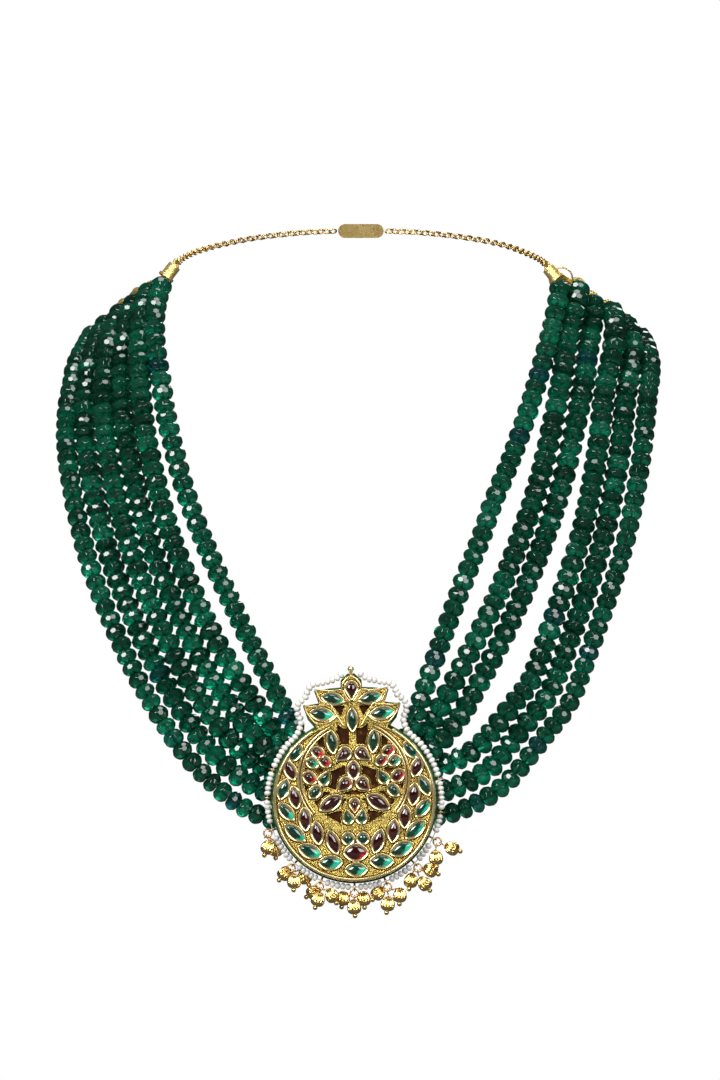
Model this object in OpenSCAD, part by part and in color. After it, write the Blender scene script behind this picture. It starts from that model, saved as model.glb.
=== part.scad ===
// Necklace of green bead strands with a round stone-set pendant, kept in the form in which it is worn.
// +X is the viewer's right, +Y goes back to the nape and +Z is up. The origin is the middle of the neck.

/* [Beads] */
// Diameter of a green bead round its girdle
bead_d = 6; // [5.6:0.1:6]
// Length of a bead along its thread
bead_pitch = 4; // [3.8:0.1:4.4]
// Diameter where two beads meet
bead_waist_d = 3.4; // [2.8:0.1:3.8]
// Flat sides round a bead
bead_sides = 6; // [6:1:8]

/* [Strands] */
// Spacing of the five outer strands on the left
left_spacing = 6.2; // [6.15:0.05:6.4]
// Spacing of the two middle strands on the right
pair_spacing = 6.5; // [6.3:0.05:6.7]
// Spacing of the three outer strands on the right
trio_spacing = 6.35; // [6.2:0.05:6.5]

/* [Pendant] */
// Radius of the gold rim
rim_r = 23.3; // [22.8:0.1:23.5]
// Radius of the green enamelled side
enamel_r = 23.8; // [23.6:0.1:23.8]
// Lean of the pendant's top to the left, in degrees
pendant_lean = 1.6; // [0:0.1:2]
// Thickness of the gold back plate
back_t = 1; // [0.8:0.1:1]
// Height of the front of the settings above the back
setting_top = 5.2; // [5:0.1:5.4]
// Height of the gold rim above the back
rim_top = 5.6; // [5.4:0.1:6]
// Width of the gold rim
rim_w = 1; // [0.8:0.1:1.2]

/* [Pearl border] */
// Diameter of a seed pearl
pearl_d = 1.8; // [1.6:0.05:1.8]
// Length of a seed pearl along its thread
pearl_pitch = 1.43; // [1.3:0.01:1.6]
// Radius at which the pearls run round the pendant
pearl_path_r = 24.85; // [24.85:0.05:25]

/* [Bells] */
// Greatest diameter of a bell
bell_d = 4.1; // [3.8:0.1:4.1]
// Diameter of the ball at a bell's tip
bell_tip_d = 1.4; // [1.2:0.1:1.5]
// Radius of a jump ring, to the middle of its wire
jump_ring_r = 1.15; // [1.1:0.05:1.2]

/* [Ends] */
// Diameter of a gold end cap
cap_d = 3.8; // [3.4:0.1:4]
// Length of a gold end cap
cap_l = 3.6; // [3.2:0.1:4]
// Diameter of the nape chain
chain_d = 2.4; // [2:0.1:2.6]

/* [Hidden] */

green = "seagreen";
gold = "goldenrod";

// Place of the pendant's back face, at the middle of the round part.
pendant_x = -1.6;
pendant_y = -57;
pendant_z = -148.6;

// Strands end on a rail behind the pendant. Within the blend radius they leave their guide for it.
strand_stop_r = 21.6;
blend_r = 42;
rail_gap = 0.7;

// Guide lines of the strands, from the shoulder down to the pendant.
// Columns: x, y, z, and how far the band's outer side turns back, in degrees.
left_inner_guide = [
    [-56.3, -4, -0.3, 0], [-57.7, -9.5, -4.9, 0], [-58.7, -15.5, -11.4, 0], [-58.3, -21, -20, 0],
    [-56.9, -25.5, -28.6, 0], [-55.6, -29, -37.7, 0], [-53.1, -33.5, -48.6, 0], [-50.1, -37, -59.7, 0],
    [-44.4, -41.5, -75.1, 0], [-36.3, -46, -93.1, 0], [-28.9, -49.5, -108.3, 0], [-21.7, -52.5, -122.3, 0],
    [-17, -53.5, -130.5, 0]
];
left_band_guide = [
    [-67.9, 9, -8.9, 41], [-69.4, 5, -11.4, 39], [-70.8, 0, -14.9, 37], [-71.7, -4, -18.3, 37],
    [-72.4, -7.5, -22, 35], [-73, -13, -28.3, 32], [-73.3, -18.5, -35.7, 27], [-72.7, -24.5, -45.7, 21],
    [-70.7, -30.5, -57.4, 15], [-68, -35.5, -68.9, 11], [-65, -39.5, -79.1, 7], [-59.6, -44, -92.9, 4],
    [-52.6, -47.5, -108, 0], [-43.7, -50, -122.9, -4], [-38.6, -51, -129.7, -6], [-31.9, -51.5, -136.3, -6],
    [-26.9, -52, -140.3, -4]
];
right_inner_guide = [
    [57.2, -5, -0.9, 0], [56.6, -9, -5.7, 0], [55.4, -12.5, -11.4, 0], [53.6, -16, -18.6, 0],
    [51.6, -19.5, -25.7, 0], [49.4, -23, -33.1, 0], [46, -28, -43.4, 0], [42.3, -33, -53.4, 0],
    [38.1, -37.5, -63.3, 0], [34.6, -41.5, -73.6, 0], [30.3, -45, -84.3, 0], [26.1, -48, -95.4, 0],
    [21.9, -50.5, -106.9, 0], [17.3, -53, -119.4, 0], [13.7, -53.5, -126.5, 0]
];
right_pair_guide = [
    [64.4, 2.5, -3.6, 45], [64.4, -1, -7.1, 36], [63.5, -4.5, -12, 25], [62, -9.5, -20, 17],
    [61.1, -14, -27.1, 12], [59, -20.5, -38, 8], [55.4, -28, -54.3, 5], [51.6, -34, -67.1, 3],
    [46.4, -40, -81.4, 0], [40.3, -44, -95.7, 0], [33.1, -47.5, -110, 0], [25.6, -50, -123.6, 0],
    [20.6, -51, -130.6, 0]
];
right_trio_guide = [
    [75.3, 10, -11.7, 41], [76.6, 6.5, -13.6, 39], [77.5, 2.5, -16.3, 35], [77.7, -1, -19.1, 28],
    [77.7, -4, -22, 24], [77.3, -7.5, -25.7, 17], [76, -13, -32.9, 10], [74.5, -22, -47.1, 4],
    [72.3, -29.5, -60.6, 1], [69.4, -35.5, -74.3, 0], [64.9, -40.5, -88.6, 0], [59.9, -44.5, -102.9, 0],
    [54.6, -47.5, -117.1, 0], [48.3, -49.5, -125.7, 0], [43.4, -50.5, -132, 0], [38.6, -51, -138, 0],
    [34.3, -51.5, -141.4, 0], [30, -52, -143.6, 0], [22, -52, -146, 0]
];

// Strands of each side from the inside out. Columns: guide, offset outwards from it, angle on the rail,
// y on the rail, and the way that the end cap points.
left_strands = [
    [left_inner_guide, 0, 131.5, -53.5, [0.6, 0.15, 0.78]],
    [left_band_guide, -2 * left_spacing, 143, -47, [0.3, 0.95, 0.1]],
    [left_band_guide, -left_spacing, 153.5, -54, [0.1, 0.92, 0.36]],
    [left_band_guide, 0, 163.5, -47.5, [0.1, 0.92, 0.36]],
    [left_band_guide, left_spacing, 177, -53, [0.3, 0.95, 0.1]],
    [left_band_guide, 2 * left_spacing, 196, -53, [0.3, 0.95, 0.1]]
];
right_strands = [
    [right_inner_guide, 0, 50, -53.5, [-0.6, 0.2, 0.77]],
    [right_pair_guide, -pair_spacing / 2, 40.5, -48, [-0.3, 0.95, 0.1]],
    [right_pair_guide, pair_spacing / 2, 30.5, -53.5, [-0.3, 0.95, 0.1]],
    [right_trio_guide, -trio_spacing, 21, -48.5, [-0.3, 0.95, 0.1]],
    [right_trio_guide, 0, 4, -53, [-0.3, 0.95, 0.1]],
    [right_trio_guide, trio_spacing, -13, -53, [-0.3, 0.95, 0.1]]
];

// Stones of the right half, which the left half mirrors.
// Columns: across, up, length, width, angle, and the shape: 0 pointed oval, 1 round, 2 pear.
green_pairs = [
    [5.4, 29.1, 5.9, 2.5, 12, 0], [8.6, 24.7, 6.3, 2.7, 8, 0], [5.95, 16.8, 6.1, 2.2, 84, 0],
    [11.7, 11, 2.9, 2.1, 25, 0], [8.2, 6.7, 3.9, 2.3, 118, 2], [11.2, 2.6, 3.5, 2.2, -48, 0],
    [2, -4.6, 3.5, 2.2, 78, 2], [2.1, -11, 2.6, 2.6, 0, 1], [16.4, 13.9, 4.8, 2.3, -54, 0],
    [20.2, 3.65, 5.4, 2.4, -69, 0], [19.5, -2.8, 5.5, 2.4, 49, 0], [17.2, -8.9, 6.5, 2.8, 40, 0],
    [13.1, -14.3, 6.3, 3, 23, 0], [7.3, -17.7, 6, 3.1, -1, 0]
];
green_singles = [[0, 23, 6.1, 2.1, 90, 0], [0, -19.9, 5.6, 2.9, 0, 0]];
red_pairs = [
    [10.1, 13.9, 3.3, 2.1, 30, 0], [8.1, 11.2, 3, 2.1, 38, 0], [2.95, 12.9, 4.3, 2.7, -38, 2],
    [2.8, 4.4, 4, 2.7, -45, 2], [12.6, 6.7, 3.6, 2.4, 36, 0], [6.8, -0.7, 6.6, 3, -31, 0],
    [18.1, 8.95, 5.1, 2.4, 69, 0], [17, 1.2, 5.7, 2.5, 81, 0], [14.3, -5.1, 5.9, 2.5, 86, 0],
    [10.9, -9.1, 5.9, 2.5, 82, 0], [6.4, -11.9, 6.3, 2.6, 72, 0]
];
red_singles = [
    [0, 31.3, 4.5, 2.9, -90, 2], [0, 8.6, 4.6, 2.6, 90, 0], [0, -1.6, 3.3, 2.1, -90, 2],
    [0, -15, 6.2, 3.9, 0, 0]
];

// Right half of the crown's outline, from the round part up to the stem.
crown_side = [
    [10, 20.5], [12.3, 22.9], [13.6, 26.9], [9.1, 27.5], [10.3, 31.1], [5.7, 31.7],
    [2.7, 31.9], [2.6, 33.9], [0.6, 35.8]
];
crown_margin = 0.4;
crown_foot = 21;
crown_opening = [[1.4, 27], [4.6, 25.9], [3.1, 23.9]];
stem_foot = 35;
stem_top = 37.4;
stem_d = 1.2;
knob_d = 1.9;

// Right half of the pearls' way round the crown, from the stem down to the round part.
crown_pearls = [
    [2.3, 36.3], [4.6, 34.7], [8, 33.8], [11.2, 33.2], [12.6, 31.2], [13.3, 29.6], [15.2, 28], [15.6, 25.3],
    [14.6, 22.8]
];
crown_pearl_angle = 50;
pearl_curve_steps = 8;
pearl_arc_step = 10;
pearl_sides = 6;

// Layers of the pendant, measured forwards from its back.
layer_gap = 0.05;
enamel_top = 2.8;
floor_top = 3.5;
stone_bed = 4.4;
stone_rise = 0.9;
stone_edge = 0.3;
bezel_w = 0.75;
stone_gap = 0.05;
pear_shoulder = 0.97;
pear_turn = 6;
inner_circle_r = 15.4;
inner_circle_v = 6.4;
inner_rim_w = 0.9;
crescent_step = 0.5;
top_post = [1.6, 4.4];
top_post_v = 18;
rim_break = [18, 6];

// Wire loops in the pearl border, in the thread's order. Columns: degrees round the round part, and the
// room that the pearls leave. Jump rings hang from the seven in the middle.
border_loops = [
    [158, 1.3], [177, 1.3], [198.5, 3.9], [225, 2.6], [246, 2.4], [268.5, 2.2], [289.5, 2.4], [312, 2.8],
    [332.5, 3.7], [350.5, 1.3], [372.5, 1.3]
];
first_hanging = 2;
pearl_level = 1.7;
pearl_waist_d = 1;
thread_d = 0.3;
loop_r = 0.95;
loop_wire_r = 0.22;
loop_path_r = 25;
peg_level = 0.6;
peg_r = 0.3;
peg_sink = 1;

// Bells. Columns: x, z, height forwards of the pendant's back, swing of the tip to the right,
// number of the jump ring, and the place of the link on that ring, from its lowest point.
bell_rows = [
    [-26.2, -161.9, 3.7, -24, 1, -35], [-24, -162.5, -0.8, -2, 1, 25],
    [-21.4, -169.4, -0.8, -39, 2, -60], [-18.8, -171.6, 4, -3, 2, 0], [-15.9, -170.4, -2, 28, 2, 50],
    [-13.1, -174.8, -0.8, -56, 3, -60], [-11.9, -176.8, 4, -20, 3, -20], [-8.1, -175.7, 2.2, 30, 3, 50],
    [-4.8, -176.5, -0.8, -10, 4, -60], [-1.7, -179, 3.1, 6, 4, 0], [1.1, -176.6, -2, 4, 4, 60],
    [5.3, -175, -0.5, -39, 5, -60], [8, -178.1, 3.4, -9, 5, 0], [11.4, -175.6, -0.5, -3, 5, 60],
    [14.6, -171.4, -0.5, -13, 6, -60], [18.3, -172.3, 3.4, 38, 6, 0], [20, -168.5, -0.5, 62, 6, 60],
    [21.7, -164.9, 2.5, 3, 7, -15], [26.1, -162.3, 1.3, 70, 7, 65]
];
bell_top = 2.1;
bell_girdle = -0.8;
bell_bottom = -2.3;
bell_tip_level = -2.7;
link_r = 0.5;
link_wire_r = 0.18;
stem_wire_r = 0.25;
ring_wire_r = 0.22;
stem_sink = 0.2;
hang_gap = 0.05;
ring_fall = 1;

// End bars and nape chain. A wire collar stands behind the first bead of the right inner strand.
cap_start = 1.2;
flange_d = 4.8;
flange_l = 0.7;
tail_d = 2.6;
tail_sink = 0.7;
bar_d = 2;
eye_r = 1.5;
eye_wire_r = 0.45;
eye_sink = 0.2;
collar_r = 3.3;
collar_wire_r = 0.25;
collar_place = [0.2, 1.7, 1.3];
collar_way = [-0.1, 0.9, 0.3];
left_eye_way = [0.3, 0.9, 0.3];
right_eye_way = [-0.3, 0.9, 0.3];
chain_gap = 0.2;
left_chain_route = [
    [-51, 8, 6], [-47, 20, 8], [-40, 32, 10], [-30, 42.5, 12], [-17, 50, 13.5], [-6.5, 53, 14]
];
right_chain_route = [
    [52, 8, 5.5], [48, 20, 7.5], [41, 32, 10], [31, 42.5, 12], [18, 50, 13.5], [7, 53, 14]
];
chain_sides = 8;
chain_rings = 22;
chain_curve_steps = 4;
clasp_size = [9, 2.6, 4];
clasp_place = [0.25, 53.5, 14];

module emerald_color() { color(green) children(); }
module gold_color() { color(gold) children(); }

// Smooth curves through the rows of a table.
function curve_at(rows, i, f) =
    let (a = rows[max(i - 1, 0)], b = rows[i], c = rows[i + 1], d = rows[min(i + 2, len(rows) - 1)])
    0.5 * (2 * b + (c - a) * f + (2 * a - 5 * b + 4 * c - d) * f * f + (3 * b - a - 3 * c + d) * f * f * f);
function curve(rows, steps) = concat(
    [for (i = [0:len(rows) - 2], j = [0:steps - 1]) curve_at(rows, i, j / steps)],
    [rows[len(rows) - 1]]
);
function xyz(p) = [p[0], p[1], p[2]];
function unit(v) = v / norm(v);
function tangent(line, i) = unit(xyz(line[min(i + 1, len(line) - 1)]) - xyz(line[max(i - 1, 0)]));

// Lengths along a line up to each of its points, and the point at a given length.
function lengths(line) = [for (i = 0, s = 0; i < len(line); i = i + 1,
    s = i < len(line) ? s + norm(line[i] - line[i - 1]) : s) s];
function segment_at(along, s, low, high) =
    high - low < 2 ? low
    : let (mid = floor((low + high) / 2)) along[mid] <= s ? segment_at(along, s, mid, high)
    : segment_at(along, s, low, mid);
function point_at(line, along, s) =
    let (i = segment_at(along, s, 0, len(line) - 1), f = (s - along[i]) / (along[i + 1] - along[i]))
    line[i] + f * (line[i + 1] - line[i]);

// A strand's line: its guide moved outwards as far as the blend radius, and from there a smooth bend to
// its place on the rail.
curve_steps = 8;
blend_steps = 10;
blend_reach = 0.35;
depth_lead = 0.7;
function outward(guide, i, hand) =
    let (lean = guide[i][3], facing = [hand * sin(lean), -cos(lean), 0])
    -hand * unit(cross(tangent(guide, i), facing));
function from_pendant(p) = norm([p[0] - pendant_x, p[2] - pendant_z]);
function bend(a, b, c, d, t) =
    a * pow(1 - t, 3) + 3 * b * t * pow(1 - t, 2) + 3 * c * t * t * (1 - t) + d * pow(t, 3);
function strand_line(strand, hand) =
    let (guide = curve(strand[0], curve_steps),
         whole = [for (i = [0:len(guide) - 1]) xyz(guide[i]) + strand[1] * outward(guide, i, hand)],
         near = [for (i = [0:len(whole) - 1]) if (from_pendant(whole[i]) < blend_r) i],
         free = [for (i = [0:near[0] - 1]) whole[i]],
         a = free[len(free) - 1],
         inward = -[cos(strand[2]), 0, sin(strand[2])],
         d = [pendant_x, strand[3], pendant_z] - strand_stop_r * inward,
         reach = blend_reach * norm(d - a),
         ahead = a + reach * tangent(free, len(free) - 1),
         b = [ahead[0], ahead[1] + depth_lead * (d[1] - ahead[1]), ahead[2]],
         arrival = inward + unit(d - a),
         c = d - reach * unit([arrival[0], 0, arrival[2]]))
    concat(free, [for (i = [1:blend_steps]) bend(a, b, c, d, i / blend_steps)]);

// A closed tube of rings along a line. Each row of rings holds its place along the line and its radius.
module ring_tube(line, rings, sides, facing) {
    along = lengths(line);
    places = [for (r = rings) point_at(line, along, r[0])];
    count = len(rings);
    points = [for (i = [0:count - 1])
        let (forward = unit(places[min(i + 1, count - 1)] - places[max(i - 1, 0)]),
             side = unit(cross(forward, facing)),
             up = cross(side, forward))
        for (j = [0:sides - 1])
            places[i] + rings[i][1] * (side * cos(360 * j / sides) + up * sin(360 * j / sides))];
    walls = [for (i = [0:count - 2], j = [0:sides - 1])
        let (a = i * sides + j, b = i * sides + (j + 1) % sides)
        each [[a, b, b + sides], [a, b + sides, a + sides]]];
    start = [for (j = [sides - 1:-1:0]) j];
    end = [for (j = [0:sides - 1]) (count - 1) * sides + j];
    polyhedron(points, concat(walls, [start, end]));
}

module bead_strand(line) {
    total = lengths(line)[len(line) - 1];
    beads = round(total / bead_pitch);
    half = total / beads / 2;
    rings = [for (i = [0:2 * beads]) [i * half, (i % 2 == 0 ? bead_waist_d : bead_d) / 2]];
    ring_tube(line, rings, bead_sides, [0, -1, 0]);
}

module strand_left(i) { emerald_color() bead_strand(strand_line(left_strands[i - 1], -1)); }
module strand_right(i) { emerald_color() bead_strand(strand_line(right_strands[i - 1], 1)); }

// Turns a child that stands on +Z so that it points along a direction.
module aim(direction) {
    rotate([0, acos(direction[2] / norm(direction)), atan2(direction[1], direction[0])]) children();
}

module rod(a, b, r) { translate(a) aim(b - a) cylinder(h = norm(b - a), r = r, $fn = 32); }

// End bar: a flanged cap on each strand, and one bar soldered along their tails.
function strand_start(strand, hand) = strand_line(strand, hand)[0];
function tail(strand, hand) =
    strand_start(strand, hand) + (cap_start + flange_l + cap_l - tail_sink) * unit(strand[4]);
function eye_middle(strand, hand, eye_way) =
    tail(strand, hand) + (tail_d / 2 + eye_r - eye_sink) * unit(eye_way);

module end_cap(strand, hand) {
    top = cap_start + flange_l + cap_l;
    translate(strand_start(strand, hand)) aim(strand[4])
        rotate_extrude($fn = 48) polygon([
            [0, cap_start], [flange_d / 2, cap_start], [flange_d / 2, cap_start + flange_l],
            [cap_d / 2, cap_start + flange_l], [cap_d / 2, top], [0, top]
        ]);
}

module end_bar(strands, hand, eye_way) {
    tails = [for (s = strands) tail(s, hand)];
    gold_color() {
        for (s = strands) end_cap(s, hand);
        for (i = [1:len(tails) - 1]) rod(tails[i - 1], tails[i], bar_d / 2);
        for (t = tails) translate(t) sphere(d = tail_d, $fn = 32);
        translate(eye_middle(strands[0], hand, eye_way)) aim(cross(eye_way, [0, 0, 1]))
            rotate_extrude($fn = 48) translate([eye_r, 0]) circle(r = eye_wire_r, $fn = 24);
    }
}

module end_bar_left() { end_bar(left_strands, -1, left_eye_way); }
module end_bar_right() {
    end_bar(right_strands, 1, right_eye_way);
    start = strand_start(right_strands[0], 1);
    gold_color() translate(start + collar_place) aim(collar_way)
        rotate_extrude($fn = 64) translate([collar_r, 0]) circle(r = collar_wire_r, $fn = 24);
}

// Nape chain and clasp.
function chain_start(strand, hand, eye_way) =
    eye_middle(strand, hand, eye_way) + (eye_r + eye_wire_r + chain_gap) * unit(eye_way);
module chain(start, route) {
    line = curve(concat([start], route), chain_curve_steps);
    total = lengths(line)[len(line) - 1];
    rings = [for (i = [0:chain_rings]) [i * total / chain_rings, chain_d / 2]];
    gold_color() ring_tube(line, rings, chain_sides, [0, 0, 1]);
}
module chain_left() { chain(chain_start(left_strands[0], -1, left_eye_way), left_chain_route); }
module chain_right() { chain(chain_start(right_strands[0], 1, right_eye_way), right_chain_route); }
module clasp() {
    gold_color() translate(clasp_place) {
        cube(clasp_size, center = true);
        for (side = [-1, 1])
            translate([side * clasp_size[0] / 2, clasp_size[1] / 2, 0]) rotate([90, 0, 0])
                cylinder(h = clasp_size[1], d = clasp_size[2], $fn = 32);
    }
}

// The pendant's own frame: across, up, and forwards from its back.
module on_pendant() {
    translate([pendant_x, pendant_y, pendant_z]) rotate([0, -pendant_lean, 0]) rotate([90, 0, 0]) children();
}

// Outline of a stone, grown by a margin.
module stone_outline(row, grow) {
    length = row[2] + 2 * grow;
    width = row[3] + 2 * grow;
    arc_r = (length * length + width * width) / (4 * width);
    translate([row[0], row[1]]) rotate(row[4]) {
        if (row[5] == 1) circle(d = width, $fn = 48);
        if (row[5] == 0) intersection() {
            translate([0, arc_r - width / 2]) circle(r = arc_r, $fn = 96);
            translate([0, width / 2 - arc_r]) circle(r = arc_r, $fn = 96);
        }
        if (row[5] == 2) {
            ball = width / 2;
            reach = length - ball;
            shoulder = pear_shoulder * ball;
            touch = acos(ball / reach) + pear_turn;
            translate([ball - length / 2, 0]) {
                circle(r = ball, $fn = 48);
                polygon([
                    [reach, 0], shoulder * [cos(touch), sin(touch)], shoulder * [cos(touch), -sin(touch)]
                ]);
            }
        }
    }
}

function mirrored(row) = [-row[0], row[1], row[2], row[3], 180 - row[4], row[5]];
greens = concat(green_pairs, [for (r = green_pairs) mirrored(r)], green_singles);
reds = concat(red_pairs, [for (r = red_pairs) mirrored(r)], red_singles);
stones = concat(greens, reds);

module stone(row) {
    dome_r = row[2] * row[2] / 8 / stone_rise + stone_rise / 2;
    top = stone_bed + stone_edge + stone_rise;
    intersection() {
        translate([0, 0, stone_bed]) linear_extrude(stone_edge + stone_rise) stone_outline(row, 0);
        translate([row[0], row[1], top - dome_r]) rotate([90, 0, 0]) sphere(r = dome_r, $fn = 96);
    }
}
module emeralds() { color("darkgreen") on_pendant() for (row = greens) stone(row); }
module rubies() { color("darkred") on_pendant() for (row = reds) stone(row); }

module crown_plate(margin) {
    right = [for (p = crown_side) [p[0] + margin, p[1] + (p[1] > crown_foot ? margin : 0)]];
    left = [for (i = [len(right) - 1:-1:0]) [-right[i][0], right[i][1]]];
    polygon(concat(right, left));
}
module plate(radius, margin) {
    circle(r = radius, $fn = 128);
    crown_plate(margin);
}

// Front: a floor, the rim, the raised crescent and crown, and a bezel round each stone of the inner circle.
function in_circle(row) = norm([row[0], row[1] - inner_circle_v]) < inner_circle_r - 1;
module front_relief() {
    difference() {
        plate(rim_r - crescent_step, 0);
        translate([0, inner_circle_v]) circle(r = inner_circle_r - inner_rim_w, $fn = 96);
        for (side = [-1, 1]) polygon([for (p = crown_opening) [side * p[0], p[1]]]);
    }
    for (row = stones) if (in_circle(row)) stone_outline(row, bezel_w);
    translate([0, top_post_v]) square(top_post, center = true);
}
module pendant_front() {
    gold_color() on_pendant() {
        translate([0, 0, enamel_top + layer_gap])
            linear_extrude(floor_top - enamel_top - layer_gap) plate(rim_r, 0);
        translate([0, 0, floor_top - layer_gap])
            linear_extrude(stone_bed - stone_gap - floor_top + layer_gap) front_relief();
        translate([0, 0, stone_bed - stone_gap - layer_gap])
            linear_extrude(setting_top - stone_bed + stone_gap + layer_gap)
                difference() {
                    front_relief();
                    for (row = stones) stone_outline(row, stone_gap);
                }
        translate([0, 0, floor_top - layer_gap]) linear_extrude(rim_top - floor_top + layer_gap)
            difference() {
                circle(r = rim_r, $fn = 128);
                circle(r = rim_r - rim_w, $fn = 128);
                translate([0, rim_r]) square(rim_break, center = true);
                for (row = stones) stone_outline(row, stone_gap);
            }
        translate([0, stem_foot, floor_top]) rotate([-90, 0, 0])
            cylinder(h = stem_top - stem_foot, d = stem_d, $fn = 32);
        translate([0, stem_top, floor_top]) sphere(d = knob_d, $fn = 32);
    }
}

module enamel_band() {
    color("darkolivegreen") on_pendant()
        translate([0, 0, back_t + layer_gap])
            linear_extrude(enamel_top - back_t - layer_gap) plate(enamel_r, crown_margin);
}

// Back: plate, a curved thread rail for the strands of each side, and the wire loops round the border.
module loop_on_rim(angle) {
    rotate(angle) {
        translate([rim_r - peg_sink, 0, peg_level]) rotate([0, 90, 0])
            cylinder(h = loop_path_r - rim_r + peg_sink, r = peg_r, $fn = 24);
        translate([loop_path_r, 0, pearl_level]) rotate([90, 0, 0])
            rotate_extrude($fn = 48) translate([loop_r, 0]) circle(r = loop_wire_r, $fn = 24);
    }
}
rail_w = 1.6;
rail_depth = 11;
left_rail = [120, 205];
right_rail = [-22, 60];
module thread_rail(span) {
    rotate(span[0]) rotate_extrude(angle = span[1] - span[0], $fn = 128)
        translate([strand_stop_r - rail_gap - rail_w, -rail_depth])
            square([rail_w, rail_depth + back_t / 2]);
}
module pendant_back() {
    gold_color() on_pendant() {
        linear_extrude(back_t) plate(rim_r, 0);
        thread_rail(left_rail);
        thread_rail(right_rail);
        for (row = border_loops) loop_on_rim(row[0]);
    }
}

// Pearl border, one thread from the stem round the whole outline and back to it.
function round_path(from, to, step) =
    [for (a = [from:step:to]) pearl_path_r * [cos(a), sin(a)]];
pearl_line = let (
    left_crown = [for (i = [0:len(crown_pearls) - 1]) [-crown_pearls[i][0], crown_pearls[i][1]]],
    right_crown = [for (i = [len(crown_pearls) - 1:-1:0]) crown_pearls[i]],
    round_part = round_path(180 - crown_pearl_angle, 360 + crown_pearl_angle, pearl_arc_step),
    whole = concat(left_crown, round_part, right_crown)
) [for (p = curve(whole, pearl_curve_steps)) [p[0], p[1], pearl_level]];

// The pearls stand in spans between the wire loops.
round_start = lengths(pearl_line)[pearl_curve_steps * len(crown_pearls)];
function place_of(angle) =
    round_start + (angle - 180 + crown_pearl_angle) * PI / 180 * pearl_path_r;
module pearl_border() {
    total = lengths(pearl_line)[len(pearl_line) - 1];
    starts = concat([0], [for (row = border_loops) place_of(row[0]) + row[1] / 2]);
    ends = concat([for (row = border_loops) place_of(row[0]) - row[1] / 2], [total]);
    rings = [for (k = [0:len(starts) - 1])
        let (pearls = round((ends[k] - starts[k]) / pearl_pitch), half = (ends[k] - starts[k]) / pearls / 2)
        each concat(
            [[starts[k], thread_d / 2]],
            [for (i = [1:2 * pearls - 1])
                [starts[k] + i * half, (i % 2 == 1 ? pearl_d : pearl_waist_d) / 2]],
            [[ends[k], thread_d / 2]]
        )];
    color("white") on_pendant() ring_tube(pearl_line, rings, pearl_sides, [0, 0, 1]);
}

// Jump rings hang from the loops, between straight down and straight out, and bells from the jump rings.
ring_drop = jump_ring_r - loop_wire_r - ring_wire_r - hang_gap;
function ring_middle(i) =
    let (a = border_loops[first_hanging + i - 1][0] + pendant_lean,
         out = [cos(a), 0, sin(a)],
         loop_end = [pendant_x, pendant_y - pearl_level, pendant_z] + (loop_path_r + loop_r) * out)
    loop_end + ring_drop * unit(out - [0, 0, ring_fall]);
module jump_ring(i) {
    gold_color() translate(ring_middle(i)) rotate([90, 0, 0])
        rotate_extrude($fn = 48) translate([jump_ring_r, 0]) circle(r = ring_wire_r, $fn = 24);
}

bell_steps = 6;
bell_profile = concat(
    [for (i = [0:bell_steps]) let (t = 90 * i / bell_steps)
        [bell_d / 2 * sin(t), bell_girdle + (bell_top - bell_girdle) * cos(t)]],
    [for (i = [1:bell_steps]) let (t = 90 * i / bell_steps)
        [bell_d / 2 * cos(t), bell_girdle + (bell_bottom - bell_girdle) * sin(t)]]
);
module bell(i) {
    row = bell_rows[i - 1];
    place = [row[0], pendant_y - row[2], row[1]];
    top = place + (bell_top - stem_sink) * [-sin(row[3]), 0, cos(row[3])];
    turn = row[5];
    hold = ring_middle(row[4]) + jump_ring_r * [sin(turn), 0, -cos(turn)];
    along_ring = [cos(turn), 0, sin(turn)];
    across_ring = (top - hold) - ((top - hold) * along_ring) * along_ring;
    low = hold + link_r * unit(across_ring);
    gold_color() {
        translate(place) rotate([0, -row[3], 0]) {
            rotate_extrude($fn = 48) polygon(bell_profile);
            translate([0, 0, bell_tip_level]) sphere(d = bell_tip_d, $fn = 32);
        }
        rod(low, top, stem_wire_r);
        translate(hold) rotate([0, -turn, 0]) rotate([0, 90, 0])
            rotate_extrude($fn = 48) translate([link_r, 0]) circle(r = link_wire_r, $fn = 24);
    }
}

for (i = [1:6]) strand_left(i);
for (i = [1:6]) strand_right(i);
end_bar_left();
end_bar_right();
chain_left();
chain_right();
clasp();
pendant_back();
enamel_band();
pendant_front();
emeralds();
rubies();
pearl_border();
for (i = [1:7]) jump_ring(i);
for (i = [1:19]) bell(i);
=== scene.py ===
import math
import random

import bmesh
import bpy
import numpy as np
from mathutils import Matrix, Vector, noise
from mathutils.geometry import delaunay_2d_cdt


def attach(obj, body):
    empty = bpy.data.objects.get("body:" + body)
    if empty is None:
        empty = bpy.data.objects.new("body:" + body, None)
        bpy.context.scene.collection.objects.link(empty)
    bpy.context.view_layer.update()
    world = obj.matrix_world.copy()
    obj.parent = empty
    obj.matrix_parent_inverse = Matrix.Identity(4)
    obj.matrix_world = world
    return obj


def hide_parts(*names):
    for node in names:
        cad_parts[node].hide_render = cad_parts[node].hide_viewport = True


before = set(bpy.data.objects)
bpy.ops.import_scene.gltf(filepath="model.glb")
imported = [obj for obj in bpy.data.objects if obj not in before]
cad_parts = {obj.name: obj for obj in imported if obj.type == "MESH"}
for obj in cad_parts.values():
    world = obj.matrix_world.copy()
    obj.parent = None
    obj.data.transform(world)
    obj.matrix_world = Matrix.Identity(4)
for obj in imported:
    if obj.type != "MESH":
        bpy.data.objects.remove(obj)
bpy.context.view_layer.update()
mm = 0.001

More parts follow.
